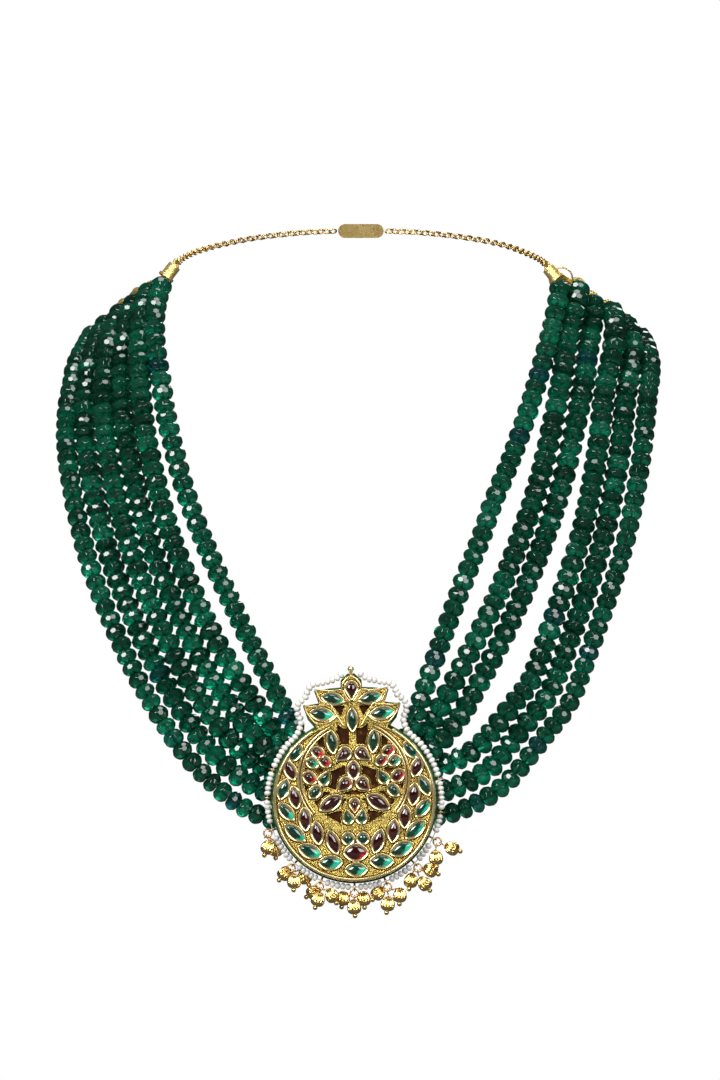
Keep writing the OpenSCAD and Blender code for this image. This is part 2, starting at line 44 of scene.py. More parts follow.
# Green bead strands. Six threads a side of faceted rondelles, cut from dyed green quartz, about 6 mm across.
# They are threaded tight from an end cap at the shoulder down to a rail behind the pendant, and lie as they
# fell: no two are quite the same length, colour or turn.
bead_d = 6.0
bead_pitch = 4.0
bead_length_spread = 0.13
bead_fill = 0.99
bead_tilt = 0.09
slimmest_bead = 0.97
palest_inner = 0.45
fullness = {1: 1.04, 2: 1.12, 3: 1.12, 4: 1.12, 5: 1.12, 6: 1.0}
depth_step = 1.25
cap_ease, plate_ease = 8.0, 25.0
plate_room = 0.25
left_spacing, pair_spacing, trio_spacing = 6.2, 6.5, 6.35
pendant_x, pendant_y, pendant_z = -1.6, -57.0, -148.6
strand_stop_r = 21.6
blend_r = 42.0
curve_steps, blend_steps, blend_reach, depth_lead = 8, 10, 0.35, 0.7
thread_r, thread_sides = 0.3, 6

# Guide lines: x, y, z, and how far the band's outer side turns back, in degrees.
left_inner_guide = [
    (-56.3, -4, -0.3, 0), (-57.7, -9.5, -4.9, 0), (-58.7, -15.5, -11.4, 0), (-58.3, -21, -20, 0),
    (-56.9, -25.5, -28.6, 0), (-55.6, -29, -37.7, 0), (-53.1, -33.5, -48.6, 0), (-50.1, -37, -59.7, 0),
    (-44.4, -41.5, -75.1, 0), (-36.3, -46, -93.1, 0), (-28.9, -49.5, -108.3, 0), (-21.7, -52.5, -122.3, 0),
    (-17, -53.5, -130.5, 0),
]
left_band_guide = [
    (-67.9, 9, -8.9, 41), (-69.4, 5, -11.4, 39), (-70.8, 0, -14.9, 37), (-71.7, -4, -18.3, 37),
    (-72.4, -7.5, -22, 35), (-73, -13, -28.3, 32), (-73.3, -18.5, -35.7, 27), (-72.7, -24.5, -45.7, 21),
    (-70.7, -30.5, -57.4, 15), (-68, -35.5, -68.9, 11), (-65, -39.5, -79.1, 7), (-59.6, -44, -92.9, 4),
    (-52.6, -47.5, -108, 0), (-43.7, -50, -122.9, -4), (-38.6, -51, -129.7, -6), (-31.9, -51.5, -136.3, -6),
    (-26.9, -52, -140.3, -4),
]
right_inner_guide = [
    (57.2, -5, -0.9, 0), (56.6, -9, -5.7, 0), (55.4, -12.5, -11.4, 0), (53.6, -16, -18.6, 0),
    (51.6, -19.5, -25.7, 0), (49.4, -23, -33.1, 0), (46, -28, -43.4, 0), (42.3, -33, -53.4, 0),
    (38.1, -37.5, -63.3, 0), (34.6, -41.5, -73.6, 0), (30.3, -45, -84.3, 0), (26.1, -48, -95.4, 0),
    (21.9, -50.5, -106.9, 0), (17.3, -53, -119.4, 0), (13.7, -53.5, -126.5, 0),
]
right_pair_guide = [
    (64.4, 2.5, -3.6, 45), (64.4, -1, -7.1, 36), (63.5, -4.5, -12, 25), (62, -9.5, -20, 17),
    (61.1, -14, -27.1, 12), (59, -20.5, -38, 8), (55.4, -28, -54.3, 5), (51.6, -34, -67.1, 3),
    (46.4, -40, -81.4, 0), (40.3, -44, -95.7, 0), (33.1, -47.5, -110, 0), (25.6, -50, -123.6, 0),
    (20.6, -51, -130.6, 0),
]
right_trio_guide = [
    (75.3, 10, -11.7, 41), (76.6, 6.5, -13.6, 39), (77.5, 2.5, -16.3, 35), (77.7, -1, -19.1, 28),
    (77.7, -4, -22, 24), (77.3, -7.5, -25.7, 17), (76, -13, -32.9, 10), (74.5, -22, -47.1, 4),
    (72.3, -29.5, -60.6, 1), (69.4, -35.5, -74.3, 0), (64.9, -40.5, -88.6, 0), (59.9, -44.5, -102.9, 0),
    (54.6, -47.5, -117.1, 0), (48.3, -49.5, -125.7, 0), (43.4, -50.5, -132, 0), (38.6, -51, -138, 0),
    (34.3, -51.5, -141.4, 0), (30, -52, -143.6, 0), (22, -52, -146, 0),
]

# Strands of each side from the inside out: guide, offset outwards, angle and y on the rail, way of the cap.
strands = {
    "left": [
        (left_inner_guide, 0, 131.5, -53.5, (0.6, 0.15, 0.78)),
        (left_band_guide, -2 * left_spacing, 143, -47, (0.3, 0.95, 0.1)),
        (left_band_guide, -left_spacing, 153.5, -54, (0.1, 0.92, 0.36)),
        (left_band_guide, 0, 163.5, -47.5, (0.1, 0.92, 0.36)),
        (left_band_guide, left_spacing, 177, -53, (0.3, 0.95, 0.1)),
        (left_band_guide, 2 * left_spacing, 196, -53, (0.3, 0.95, 0.1)),
    ],
    "right": [
        (right_inner_guide, 0, 50, -53.5, (-0.6, 0.2, 0.77)),
        (right_pair_guide, -pair_spacing / 2, 40.5, -48, (-0.3, 0.95, 0.1)),
        (right_pair_guide, pair_spacing / 2, 30.5, -53.5, (-0.3, 0.95, 0.1)),
        (right_trio_guide, -trio_spacing, 21, -48.5, (-0.3, 0.95, 0.1)),
        (right_trio_guide, 0, 4, -53, (-0.3, 0.95, 0.1)),
        (right_trio_guide, trio_spacing, -13, -53, (-0.3, 0.95, 0.1)),
    ],
}
hands = {"left": -1, "right": 1}


def unit(way):
    """The same direction, with length 1."""
    way = np.asarray(way, float)
    return way / np.linalg.norm(way)


def smooth_rows(rows, steps):
    """A smooth curve through the rows of a table."""
    rows = np.array(rows, float)
    padded = [rows[0], *rows, rows[-1]]
    out = []
    for a, b, c, d in zip(padded, padded[1:], padded[2:], padded[3:]):
        for f in np.arange(steps) / steps:
            out.append(0.5 * (2 * b + (c - a) * f + (2 * a - 5 * b + 4 * c - d) * f**2
                              + (3 * b - a - 3 * c + d) * f**3))
    return np.array(out + [rows[-1]])


def way_at(line, i):
    """The direction of a line at one of its points."""
    return unit(line[min(i + 1, len(line) - 1)][:3] - line[max(i - 1, 0)][:3])


def strand_line(strand, hand):
    """The thread of one strand: along its guide, then a smooth bend to its place on the rail."""
    guide, offset, rail_angle, rail_y, _ = strand
    guide = smooth_rows(guide, curve_steps)
    free = []
    for i, row in enumerate(guide):
        lean = math.radians(row[3])
        facing = (hand * math.sin(lean), -math.cos(lean), 0)
        point = row[:3] - offset * hand * unit(np.cross(way_at(guide, i), facing))
        if math.hypot(point[0] - pendant_x, point[2] - pendant_z) < blend_r:
            break
        free.append(point)
    angle = math.radians(rail_angle)
    inward = -np.array([math.cos(angle), 0, math.sin(angle)])
    a, d = free[-1], np.array([pendant_x, rail_y, pendant_z]) - strand_stop_r * inward
    reach = blend_reach * np.linalg.norm(d - a)
    b = a + reach * way_at(free, len(free) - 1)
    b[1] += depth_lead * (d[1] - b[1])
    arrival = (inward + unit(d - a)) * (1, 0, 1)
    c = d - reach * unit(arrival)
    for t in np.arange(1, blend_steps + 1) / blend_steps:
        free.append(a * (1 - t)**3 + 3 * b * t * (1 - t)**2 + 3 * c * t**2 * (1 - t) + d * t**3)
    return np.array(free)


def lengths_along(line):
    """How far along a line each of its points lies."""
    return np.concatenate([[0], np.cumsum(np.linalg.norm(np.diff(line, axis=0), axis=1))])


def points_along(line, places):
    """Points and directions at the given lengths along a line."""
    along = lengths_along(line)
    at = lambda s: np.stack([np.interp(s, along, line[:, k]) for k in range(3)], axis=1)
    places = np.asarray(places, float)
    ahead = at(places + 0.5) - at(places - 0.5)
    return at(places), ahead / np.linalg.norm(ahead, axis=1)[:, None]


def axes_along(forward, facing=(0, -1, 0)):
    """Columns side, up and forward of the frame of something threaded on a line."""
    side = unit(np.cross(forward, facing))
    return np.stack([side, np.cross(forward, side), forward], axis=1)


def turned(about_x, about_y, about_z):
    """A turn about z, then y, then x."""
    cx, sx, cy, sy = math.cos(about_x), math.sin(about_x), math.cos(about_y), math.sin(about_y)
    cz, sz = math.cos(about_z), math.sin(about_z)
    turn_x = np.array([[1, 0, 0], [0, cx, -sx], [0, sx, cx]])
    turn_y = np.array([[cy, 0, sy], [0, 1, 0], [-sy, 0, cy]])
    turn_z = np.array([[cz, -sz, 0], [sz, cz, 0], [0, 0, 1]])
    return turn_x @ turn_y @ turn_z


def end_faces(total, sides):
    """Faces that close the first and the last ring of a tube."""
    return [tuple(range(sides))[::-1], tuple(range(total - sides, total))]


def wire(line, radius, sides, closed=False):
    """Points and faces of a round wire along a line."""
    line = np.asarray(line, float)
    count = len(line)
    ahead = np.roll(line, -1, 0) - np.roll(line, 1, 0) if closed else np.gradient(line, axis=0)
    ahead /= np.linalg.norm(ahead, axis=1)[:, None]
    side = unit(np.cross(ahead[0], (0.31, 0.2, 0.93)))
    around = np.arange(sides) * 2 * math.pi / sides
    points = []
    for place, forward in zip(line, ahead):
        side = unit(side - forward * (side @ forward))
        up = np.cross(forward, side)
        points.append(place + radius * (np.outer(np.cos(around), side) + np.outer(np.sin(around), up)))
    steps = count if closed else count - 1
    faces = [(i * sides + j, i * sides + (j + 1) % sides, (i + 1) % count * sides + (j + 1) % sides,
              (i + 1) % count * sides + j) for i in range(steps) for j in range(sides)]
    if not closed:
        faces += end_faces(count * sides, sides)
    return np.concatenate(points), faces


class Pile:
    """Collects small shapes, in millimetres, into one mesh that keeps a shade for each of them."""

    def __init__(self):
        self.points, self.faces, self.finishes, self.smooths, self.shades = [], [], [], [], []
        self.total = 0

    def add(self, points, faces, finish=0, smooth=True, shade=0.5):
        """Adds one shape; its finish, smoothness and shade are one value, or one for each face."""
        self.points.append(np.asarray(points, float))
        self.faces += [[self.total + i for i in face] for face in faces]
        for kept, value in ((self.finishes, finish), (self.smooths, smooth), (self.shades, shade)):
            kept += list(value) if hasattr(value, "__len__") else [value] * len(faces)
        self.total += len(points)

    def piece(self, name, materials, slot, *stands_for):
        """Makes the mesh and puts it in the place of the CAD nodes that it stands for."""
        mesh = bpy.data.meshes.new(name)
        mesh.from_pydata((np.concatenate(self.points) * mm).tolist(), [], self.faces)
        for material in materials:
            mesh.materials.append(material)
        mesh.polygons.foreach_set("material_index", self.finishes)
        mesh.polygons.foreach_set("use_smooth", self.smooths)
        mesh.attributes.new("shade", "FLOAT", "FACE").data.foreach_set("value", self.shades)
        mesh.update()
        made = bpy.data.objects.new(name, mesh)
        bpy.context.scene.collection.objects.link(made)
        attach(made, "root")
        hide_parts(*stands_for)
        return made


def either_way(draw, most):
    """A random amount, up to this much one way or the other."""
    return draw.uniform(-most, most)


def cut_bead():
    """A faceted rondelle of radius and half length 1: staggered rows of flat cuts, and two drilled ends."""
    facets, girdle_r, end_depth, worn_edge = 12, 0.975, 1.21, 0.02
    row_slopes, staggered_slope = (0, 27, -27, 50, -50), 27
    bm = bmesh.new()
    bmesh.ops.create_cube(bm, size=4)
    planes = [((0, 0, end), 1.0) for end in (-1, 1)]
    for slope in row_slopes:
        t = math.radians(slope)
        on_curve = Vector((girdle_r * math.cos(t), end_depth * math.sin(t)))
        normal = Vector((math.cos(t) / girdle_r, math.sin(t) / end_depth)).normalized()
        stagger = 0.5 if abs(slope) == staggered_slope else 0
        for k in range(facets):
            around = 2 * math.pi * (k + stagger) / facets
            planes.append(((normal[0] * math.cos(around), normal[0] * math.sin(around), normal[1]),
                           normal.dot(on_curve)))
    for normal, distance in planes:
        normal = Vector(normal)
        cut = bmesh.ops.bisect_plane(bm, geom=bm.verts[:] + bm.edges[:] + bm.faces[:], dist=1e-6,
                                     plane_co=normal * distance, plane_no=normal, clear_outer=True)
        rim = [e for e in cut["geom_cut"] if isinstance(e, bmesh.types.BMEdge)]
        if rim:
            bmesh.ops.edgenet_fill(bm, edges=rim)
    bmesh.ops.remove_doubles(bm, verts=bm.verts[:], dist=0.01)
    bmesh.ops.bevel(bm, geom=bm.edges[:], offset=worn_edge, segments=1, profile=0.5, affect="EDGES")
    bmesh.ops.recalc_face_normals(bm, faces=bm.faces[:])
    bm.verts.index_update()
    points = np.array([v.co[:] for v in bm.verts])
    faces = [[v.index for v in f.verts] for f in bm.faces]
    bm.free()
    return points, faces


def add_node(tree, kind, inputs=None, **settings):
    """A shader node with its settings, and its inputs set or linked by name or number."""
    node = tree.nodes.new(kind)
    for name, value in settings.items():
        setattr(node, name, value)
    for name, value in (inputs or {}).items():
        if isinstance(value, bpy.types.NodeSocket):
            tree.links.new(value, node.inputs[name])
        else:
            node.inputs[name].default_value = value
    return node


def ramp(tree, value, *stops):
    """A colour ramp; each stop is a place and a colour."""
    node = add_node(tree, "ShaderNodeValToRGB", {"Fac": value})
    while len(node.color_ramp.elements) < len(stops):
        node.color_ramp.elements.new(0.5)
    for element, (place, colour) in zip(node.color_ramp.elements, stops):
        element.position = place
        element.color = (*colour, 1)
    return node.outputs["Color"]


def mixed(tree, share, first, second, blend="MIX"):
    """Two colours mixed, or multiplied where blend says so."""
    node = add_node(tree, "ShaderNodeMix", data_type="RGBA", blend_type=blend)
    for socket, value in ((node.inputs[0], share), (node.inputs[6], first), (node.inputs[7], second)):
        if isinstance(value, bpy.types.NodeSocket):
            tree.links.new(value, socket)
        else:
            socket.default_value = (*value, 1) if hasattr(value, "__len__") else value
    return node.outputs[2]


def worked_out(tree, operation, first, second=0.0, clamp=False):
    """The result of one sum on values."""
    node = add_node(tree, "ShaderNodeMath", {0: first, 1: second}, operation=operation, use_clamp=clamp)
    return node.outputs["Value"]


def mapped(tree, value, old=(0, 1), new=(0, 1), **settings):
    """A value moved from one range to another."""
    ends = {"Value": value, 1: old[0], 2: old[1], 3: new[0], 4: new[1]}
    return add_node(tree, "ShaderNodeMapRange", ends, **settings).outputs["Result"]


def own_place(tree):
    """The piece's own coordinates, so that a pattern stays where it is on the piece."""
    return add_node(tree, "ShaderNodeTexCoord").outputs["Object"]


def speckle(tree, scale, detail=2.0, distortion=0.0):
    """Soft noise laid out in the piece's own coordinates."""
    inputs = {"Vector": own_place(tree), "Scale": scale, "Detail": detail, "Distortion": distortion}
    return add_node(tree, "ShaderNodeTexNoise", inputs).outputs["Fac"]


def mesh_value(tree, name):
    """A number that the mesh keeps, such as each bead's shade."""
    return add_node(tree, "ShaderNodeAttribute", attribute_name=name).outputs["Fac"]


def new_group(name, inputs, outputs):
    """An empty node group; inputs are (name, kind, value) and outputs are (name, kind)."""
    group = bpy.data.node_groups.new(name, "ShaderNodeTree")
    for label, kind, value in inputs:
        group.interface.new_socket(label, in_out="INPUT", socket_type=kind).default_value = value
    for label, kind in outputs:
        group.interface.new_socket(label, in_out="OUTPUT", socket_type=kind)
    return group, group.nodes.new("NodeGroupInput").outputs, group.nodes.new("NodeGroupOutput").inputs


def placed(tree, group, **values):
    """A node group in a material, with its own values."""
    node = add_node(tree, "ShaderNodeGroup", node_tree=group)
    for name, value in values.items():
        socket = node.inputs[name.replace("_", " ")]
        if isinstance(value, bpy.types.NodeSocket):
            tree.links.new(value, socket)
        else:
            socket.default_value = (*value, 1) if hasattr(value, "__len__") else value
    return node.outputs


def new_material(name, **constants):
    """A material with its shader's constant values set; returns it, its tree and its shader."""
    material = bpy.data.materials.new(name)
    material.use_nodes = True
    tree = material.node_tree
    tree.nodes.clear()
    shader = tree.nodes.new("ShaderNodeBsdfPrincipled")
    surface = tree.nodes.new("ShaderNodeOutputMaterial")
    tree.links.new(shader.outputs["BSDF"], surface.inputs["Surface"])
    for label, value in constants.items():
        shader.inputs[label.replace("_", " ")].default_value = value
    return material, tree, shader


def feed(shader, **sources):
    """Links what changes over the surface to the shader's sockets."""
    for label, source in sources.items():
        shader.id_data.links.new(source, shader.inputs[label.replace("_", " ")])


# Cloudy stone: soft streaks and veils inside a cut stone, a glaze or a pearl.
clouds, given, out = new_group(
    "cloudy_stone",
    [("Clear", "NodeSocketColor", (0, 0, 0, 1)), ("Cloudy", "NodeSocketColor", (1, 1, 1, 1)),
     ("Size", "NodeSocketFloat", 400.0), ("Amount", "NodeSocketFloat", 0.5)],
    [("Color", "NodeSocketColor"), ("Veil", "NodeSocketFloat")],
)
veils = mapped(clouds, speckle(clouds, given["Size"], 3.0, 0.8), (0.38, 0.68))
cloudiness = worked_out(clouds, "MULTIPLY", veils, given["Amount"])
clouds.links.new(mixed(clouds, cloudiness, given["Clear"], given["Cloudy"]), out["Color"])
clouds.links.new(veils, out["Veil"])

# Each flat is cut by hand, so it is a little domed: its normal leans towards the smooth shape's.
flat_doming = 0.06
green_quartz, tree, shader = new_material("green_quartz", IOR=1.62, Transmission_Weight=0.7)
deep = ramp(tree, mesh_value(tree, "shade"), (0.0, (0.0003, 0.044, 0.022)), (0.5, (0.0005, 0.072, 0.037)),
            (0.85, (0.001, 0.112, 0.058)), (0.98, (0.003, 0.16, 0.085)), (0.985, (0.0005, 0.048, 0.044)),
            (1.0, (0.0005, 0.060, 0.056)))
pale = mixed(tree, 1.0, deep, (2.4, 2.3, 2.2), "MULTIPLY")
stone = placed(tree, clouds, Clear=deep, Cloudy=pale, Size=260.0, Amount=0.7)
facing = add_node(tree, "ShaderNodeNewGeometry").outputs
normals = {0: flat_doming, 4: facing["True Normal"], 5: facing["Normal"]}
domed = add_node(tree, "ShaderNodeMix", normals, data_type="VECTOR").outputs[1]
domed = add_node(tree, "ShaderNodeVectorMath", {0: domed}, operation="NORMALIZE").outputs["Vector"]
stone_gloss = mapped(tree, stone["Veil"], new=(0.012, 0.045))
feed(shader, Base_Color=stone["Color"], Roughness=stone_gloss, Normal=domed)

green_thread, tree, shader = new_material("green_thread", Roughness=0.8)
plies = ramp(tree, speckle(tree, 3000.0), (0.3, (0.002, 0.02, 0.012)), (0.7, (0.01, 0.07, 0.04)))
feed(shader, Base_Color=plies)

bead_points, bead_faces = cut_bead()
for side, rows in strands.items():
    for number, strand in enumerate(rows, 1):
        draw = random.Random(f"beads {side} {number}")
        line = strand_line(strand, hands[side])
        past = lengths_along(line)
        total = past[-1]
        free = np.clip(past / cap_ease, 0, 1) * np.clip((total - past) / plate_ease, 0, 1)
        line[:, 1] += free * (depth_step if number % 2 else -depth_step)
        line[:, 1] += (past > total / 2) * (1 - free) * plate_room
        count = round(total / bead_pitch)
        sizes = np.array([1 + either_way(draw, bead_length_spread) for _ in range(count)])
        sizes *= total / sizes.sum()
        middles = np.cumsum(sizes) - sizes / 2
        palest = palest_inner if number == 1 else 0.0
        pile = Pile()
        for place, forward, size in zip(*points_along(line, middles), sizes):
            fit = draw.uniform(slimmest_bead, 1) * (slimmest_bead + (1 - slimmest_bead) * size / bead_pitch)
            fit = min(fit, 1)
            girth = bead_d / 2 * fit * fullness[number]
            stretch = (girth, girth, size / 2 * bead_fill)
            turn = turned(either_way(draw, bead_tilt), either_way(draw, bead_tilt), 0)
            spin = turned(0, 0, draw.uniform(0, 2 * math.pi))
            slack = 1 - fit
            wander = np.array([either_way(draw, slack), either_way(draw, slack), 0])
            local = (bead_points @ spin.T * stretch) @ turn.T + wander
            tone = palest + (1 - palest) * draw.random()
            pile.add(local @ axes_along(forward).T + place, bead_faces, shade=tone)
        pile.add(*wire(line[::2], thread_r, thread_sides), 1)
        pile.piece(f"beads_{side}_{number}", [green_quartz, green_thread], "green_beads",
                   f"strand_{side}_{number}")

# End bars and caps. Each strand ends in a flanged cap raised from gold sheet, and the caps of a side are
# soldered along one bar, which has an eye for the nape chain. The CAD nodes are kept and get the gold.
hammered, given, out = new_group(
    "hand_worked_gold",
    [("Light", "NodeSocketColor", (1, 0.8, 0.4, 1)), ("Dark", "NodeSocketColor", (0.3, 0.2, 0.05, 1)),
     ("Dent Size", "NodeSocketFloat", 900.0), ("Grain", "NodeSocketFloat", 0.5),
     ("Polish", "NodeSocketFloat", 0.2)],
    [("Color", "NodeSocketColor"), ("Roughness", "NodeSocketFloat"), ("Height", "NodeSocketFloat")],
)
spots = {"Vector": own_place(hammered), "Scale": given["Dent Size"]}
dents = add_node(hammered, "ShaderNodeTexVoronoi", spots, feature="SMOOTH_F1").outputs["Distance"]
grains = speckle(hammered, worked_out(hammered, "MULTIPLY", given["Dent Size"], 3.1))
grains = worked_out(hammered, "MULTIPLY", grains, given["Grain"])
height = worked_out(hammered, "ADD", dents, grains)
# The gold is made darker in wide patches and in the low parts of its dents.
pits = worked_out(hammered, "MULTIPLY", mapped(hammered, height, (0.75, 0.35)), given["Grain"])
wide_darkening = mapped(hammered, speckle(hammered, 220.0, 4.0), (0.35, 0.7), (0, 0.5))
darkening = worked_out(hammered, "ADD", wide_darkening, pits, True)
dulling = worked_out(hammered, "MULTIPLY", grains, 0.35)
hammered.links.new(mixed(hammered, darkening, given["Light"], given["Dark"]), out["Color"])
hammered.links.new(worked_out(hammered, "ADD", given["Polish"], dulling), out["Roughness"])
hammered.links.new(height, out["Height"])


def gold_finish(name, light, dark, dent_size, grain, polish, depth, metallic=1.0):
    """A gold of its own colour, dents and polish."""
    material, tree, shader = new_material(name, Metallic=metallic)
    metal = placed(tree, hammered, Light=light, Dark=dark, Dent_Size=dent_size, Grain=grain, Polish=polish)
    bump = add_node(tree, "ShaderNodeBump", {"Height": metal["Height"], "Distance": depth * mm})
    feed(shader, Base_Color=metal["Color"], Roughness=metal["Roughness"], Normal=bump.outputs["Normal"])
    return material


def finish_node(name, material):
    """Gives a CAD node that stays its material."""
    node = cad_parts[name]
    node.data.materials.clear()
    node.data.materials.append(material)


cap_gold = gold_finish("cap_gold", (1.0, 0.78, 0.30), (0.65, 0.42, 0.10), 1400.0, 0.8, 0.12, 0.12, 0.8)
finish_node("end_bar_left", cap_gold)
finish_node("end_bar_right", cap_gold)

# Nape chain. Fine cable chain of oval wire links, each turned a quarter from the last, from the eye of each
# end bar to the clasp.
chain_routes = {
    "left": [(-51, 8, 6), (-47, 20, 8), (-40, 32, 10), (-30, 42.5, 12), (-17, 50, 13.5), (-6.5, 53, 14)],
    "right": [(52, 8, 5.5), (48, 20, 7.5), (41, 32, 10), (31, 42.5, 12), (18, 50, 13.5), (7, 53, 14)],
}
eye_ways = {"left": (0.3, 0.9, 0.3), "right": (-0.3, 0.9, 0.3)}
cap_start, flange_length, cap_length, tail_sink, tail_d = 1.2, 0.7, 3.6, 0.7, 2.6
eye_r, eye_wire_r, eye_sink, chain_gap = 1.5, 0.45, 0.2, 0.2
tail_reach = cap_start + flange_length + cap_length - tail_sink
eye_reach = (tail_d / 2 + eye_r - eye_sink) + (eye_r + eye_wire_r + chain_gap)
link_pitch, link_length, link_width, link_wire_r = 1.75, 2.6, 2.1, 0.26
link_steps, link_sides, route_steps = 14, 7, 4

chain_gold = gold_finish("chain_gold", (0.95, 0.70, 0.28), (0.6, 0.36, 0.1), 2500.0, 0.4, 0.14, 0.01)
bend = np.arange(link_steps) * 2 * math.pi / link_steps
link_line = np.stack([(link_width / 2 - link_wire_r) * np.sin(bend), 0 * bend,
                      (link_length / 2 - link_wire_r) * np.cos(bend)], axis=1)
link_points, link_faces = wire(link_line, link_wire_r, link_sides, closed=True)
for side, route in chain_routes.items():
    first = strands[side][0]
    tail = strand_line(first, hands[side])[0] + tail_reach * unit(first[4])
    line = smooth_rows([tail + eye_reach * unit(eye_ways[side]), *route], route_steps)
    total = lengths_along(line)[-1]
    links = int((total - link_length) / link_pitch)
    middles = np.linspace(link_length / 2, total - link_length / 2, links + 1)
    pile = Pile()
    for i, (place, forward) in enumerate(zip(*points_along(line, middles))):
        quarter = turned(0, 0, math.radians(45 + 90 * (i % 2)))
        pile.add(link_points @ quarter.T @ axes_along(forward, (0, 0, 1)).T + place, link_faces)
    pile.piece(f"nape_chain_{side}", [chain_gold], "gold_chain", f"chain_{side}")

# Clasp. One plain piece at the nape, hidden when the necklace is worn, made of gold sheet rubbed smooth and
# worn round at its edges.
clasp_edge = 0.5
clasp_gold = gold_finish("clasp_gold", (0.90, 0.66, 0.26), (0.55, 0.36, 0.10), 700.0, 0.3, 0.24, 0.02)
finish_node("clasp", clasp_gold)
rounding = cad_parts["clasp"].modifiers.new("worn_edges", "BEVEL")
rounding.width = clasp_edge * mm
rounding.segments = 3
rounding.limit_method = "ANGLE"

# Pendant back. A gold plate, burnished smooth, with two thread rails and the wire loops that hold the border
# soldered on.
plate_gold = gold_finish("plate_gold", (0.85, 0.62, 0.26), (0.45, 0.28, 0.08), 500.0, 0.5, 0.22, 0.04)
finish_node("pendant_back", plate_gold)

# Enamel band. Green enamel fired on the side of the pendant's body, which shows as a thin dark line outside
# the rim, and brighter under it.
green_enamel, tree, shader = new_material("green_enamel", Coat_Weight=0.6, Coat_Roughness=0.05)
glaze = placed(tree, clouds, Clear=(0.010, 0.045, 0.008), Cloudy=(0.05, 0.16, 0.02), Size=320.0, Amount=0.8)
feed(shader, Base_Color=glaze["Color"], Roughness=mapped(tree, glaze["Veil"], new=(0.18, 0.4)))
finish_node("enamel_band", green_enamel)

# Pendant front. Kundan work: thin pure gold is pressed round each foil-backed stone and burnished to a
# ridge, over a body cut right through in places to a dark red lac bed. Between the stones the gold is left
# rough, with a shallow groove sunk round each setting. Painted shade darkens the gold along that groove, and
# in flat bands inside the rim and along the inner rings.
pendant_lean = math.radians(1.6)
rim_r, rim_w, rim_foot, rim_top, rim_stop = 23.3, 1.0, 3.9, 5.6, 4
plate_level, circle_level, floor_level, front_back = 4.62, 4.3, 3.5, 2.85
plate_r = 22.9
inner_circle_r, inner_circle_v = 15.1, 6.4
inner_rings = [(inner_circle_r + 0.8, 0.7, 5.4), (inner_circle_r - 0.15, 0.6, 5.1)]
ring_spans = [(-40, 66), (114, 220)]
crown_ridge_w, crown_ridge_sink, crown_ridge_rise = 0.5, 0.1, 0.55
stem_foot, stem_r, knob_r = 34.5, 0.6, 0.95

# The crown's outline on the right, in three leaves, and the raised lines on it.
crown_leaves = [
    (10, 20.6), (10.9, 22.2), (12.4, 24.0), (13.3, 25.6), (13.9, 27.7), (11.7, 27.25), (9.3, 27.5),
    (9.8, 29.6), (10.6, 32.1), (8.2, 31.8), (5.5, 31.6), (2.9, 31.8), (2.8, 33.3), (1.8, 34.8), (0.6, 35.7),
]
crown_ridges = [
    [(13.5, 27.4), (11.5, 26.95), (9.1, 27.2), (6.0, 27.4), (3.3, 27.7), (0.9, 28.4)],
    [(10.3, 31.9), (9.5, 29.9), (8.5, 28.4), (6.0, 27.4), (4.9, 25.2), (3.5, 22.9), (2.6, 21.4)],
    [(10.3, 31.9), (8.2, 31.5), (5.5, 31.3), (2.7, 31.5), (1.6, 29.7), (0.6, 28.4)],
    [(2.7, 31.5), (2.6, 33.1), (1.6, 34.5), (0.4, 35.2)],
    [(13.5, 27.4), (13.0, 25.5), (12.1, 24.1), (10.6, 22.3), (9.0, 21.9), (6.4, 22.6), (4.4, 24.2)],
]

# Inside the inner circle the body is cut away but for the settings and these ribs: their width, then points.
# Each half also has one opening in the crown, and two that reach past the circle.
cut_circle_r, setting_spread, rib_swell = 14.3, 1.15, 0.35
rib_pairs = [
    (1.1, [(0, 15.3), (3.0, 15.2), (5.2, 13.3), (6.4, 11.4)]), (0.9, [(1.0, 11.2), (5.8, 9.3), (8.2, 9.3)]),
    (2.4, [(7.4, 10.0), (9.3, 12.2), (11.0, 12.6)]), (2.0, [(12.0, 11.0), (14.8, 11.3)]),
    (1.2, [(9.0, 6.4), (14.9, 6.6)]), (0.8, [(7.6, 9.2), (7.0, 7.6)]), (1.0, [(11.2, 2.6), (9.4, 5.0)]),
    (1.6, [(11.5, 2.2), (14.8, 1.8)]),
    (1.0, [(10.6, 3.6), (7.5, 3.2), (5.3, 2.4), (3.9, 1.4), (1.5, 0.9), (0, 0.9)]),
    (0.9, [(3.9, 1.4), (5.0, 0.4)]), (1.0, [(9.4, -2.3), (11.6, -3.6)]), (1.3, [(4.6, 11.6), (7.0, 10.6)]),
    (1.9, [(13.2, 0.5), (11.4, -2.6), (8.6, -5.3), (4.8, -7.4), (0, -8.2)]),
    (1.5, [(9.6, -2.6), (4.6, -2.2)]),
]
rib_singles = [
    (7.0, [(0, -2.6), (0, -4.4)]), (1.7, [(0, 20.6), (0, 12.0)]), (1.2, [(0, 15.0), (0, 11.0)]),
    (1.0, [(0, 5.0), (0, 3.4)]), (1.6, [(0, -4.6), (0, -8.0)]),
]
opening_pairs = [
    [(1.9, 27.2), (5.2, 26.7), (3.2, 24.0)],
    [(4.5, 22.1), (2.9, 20.7), (1.3, 19.4), (1.1, 16.2), (3.4, 15.9), (3.9, 18.2)],
    [(8.1, 16.0), (8.5, 19.3), (10.4, 17.8), (9.6, 15.7)],
]
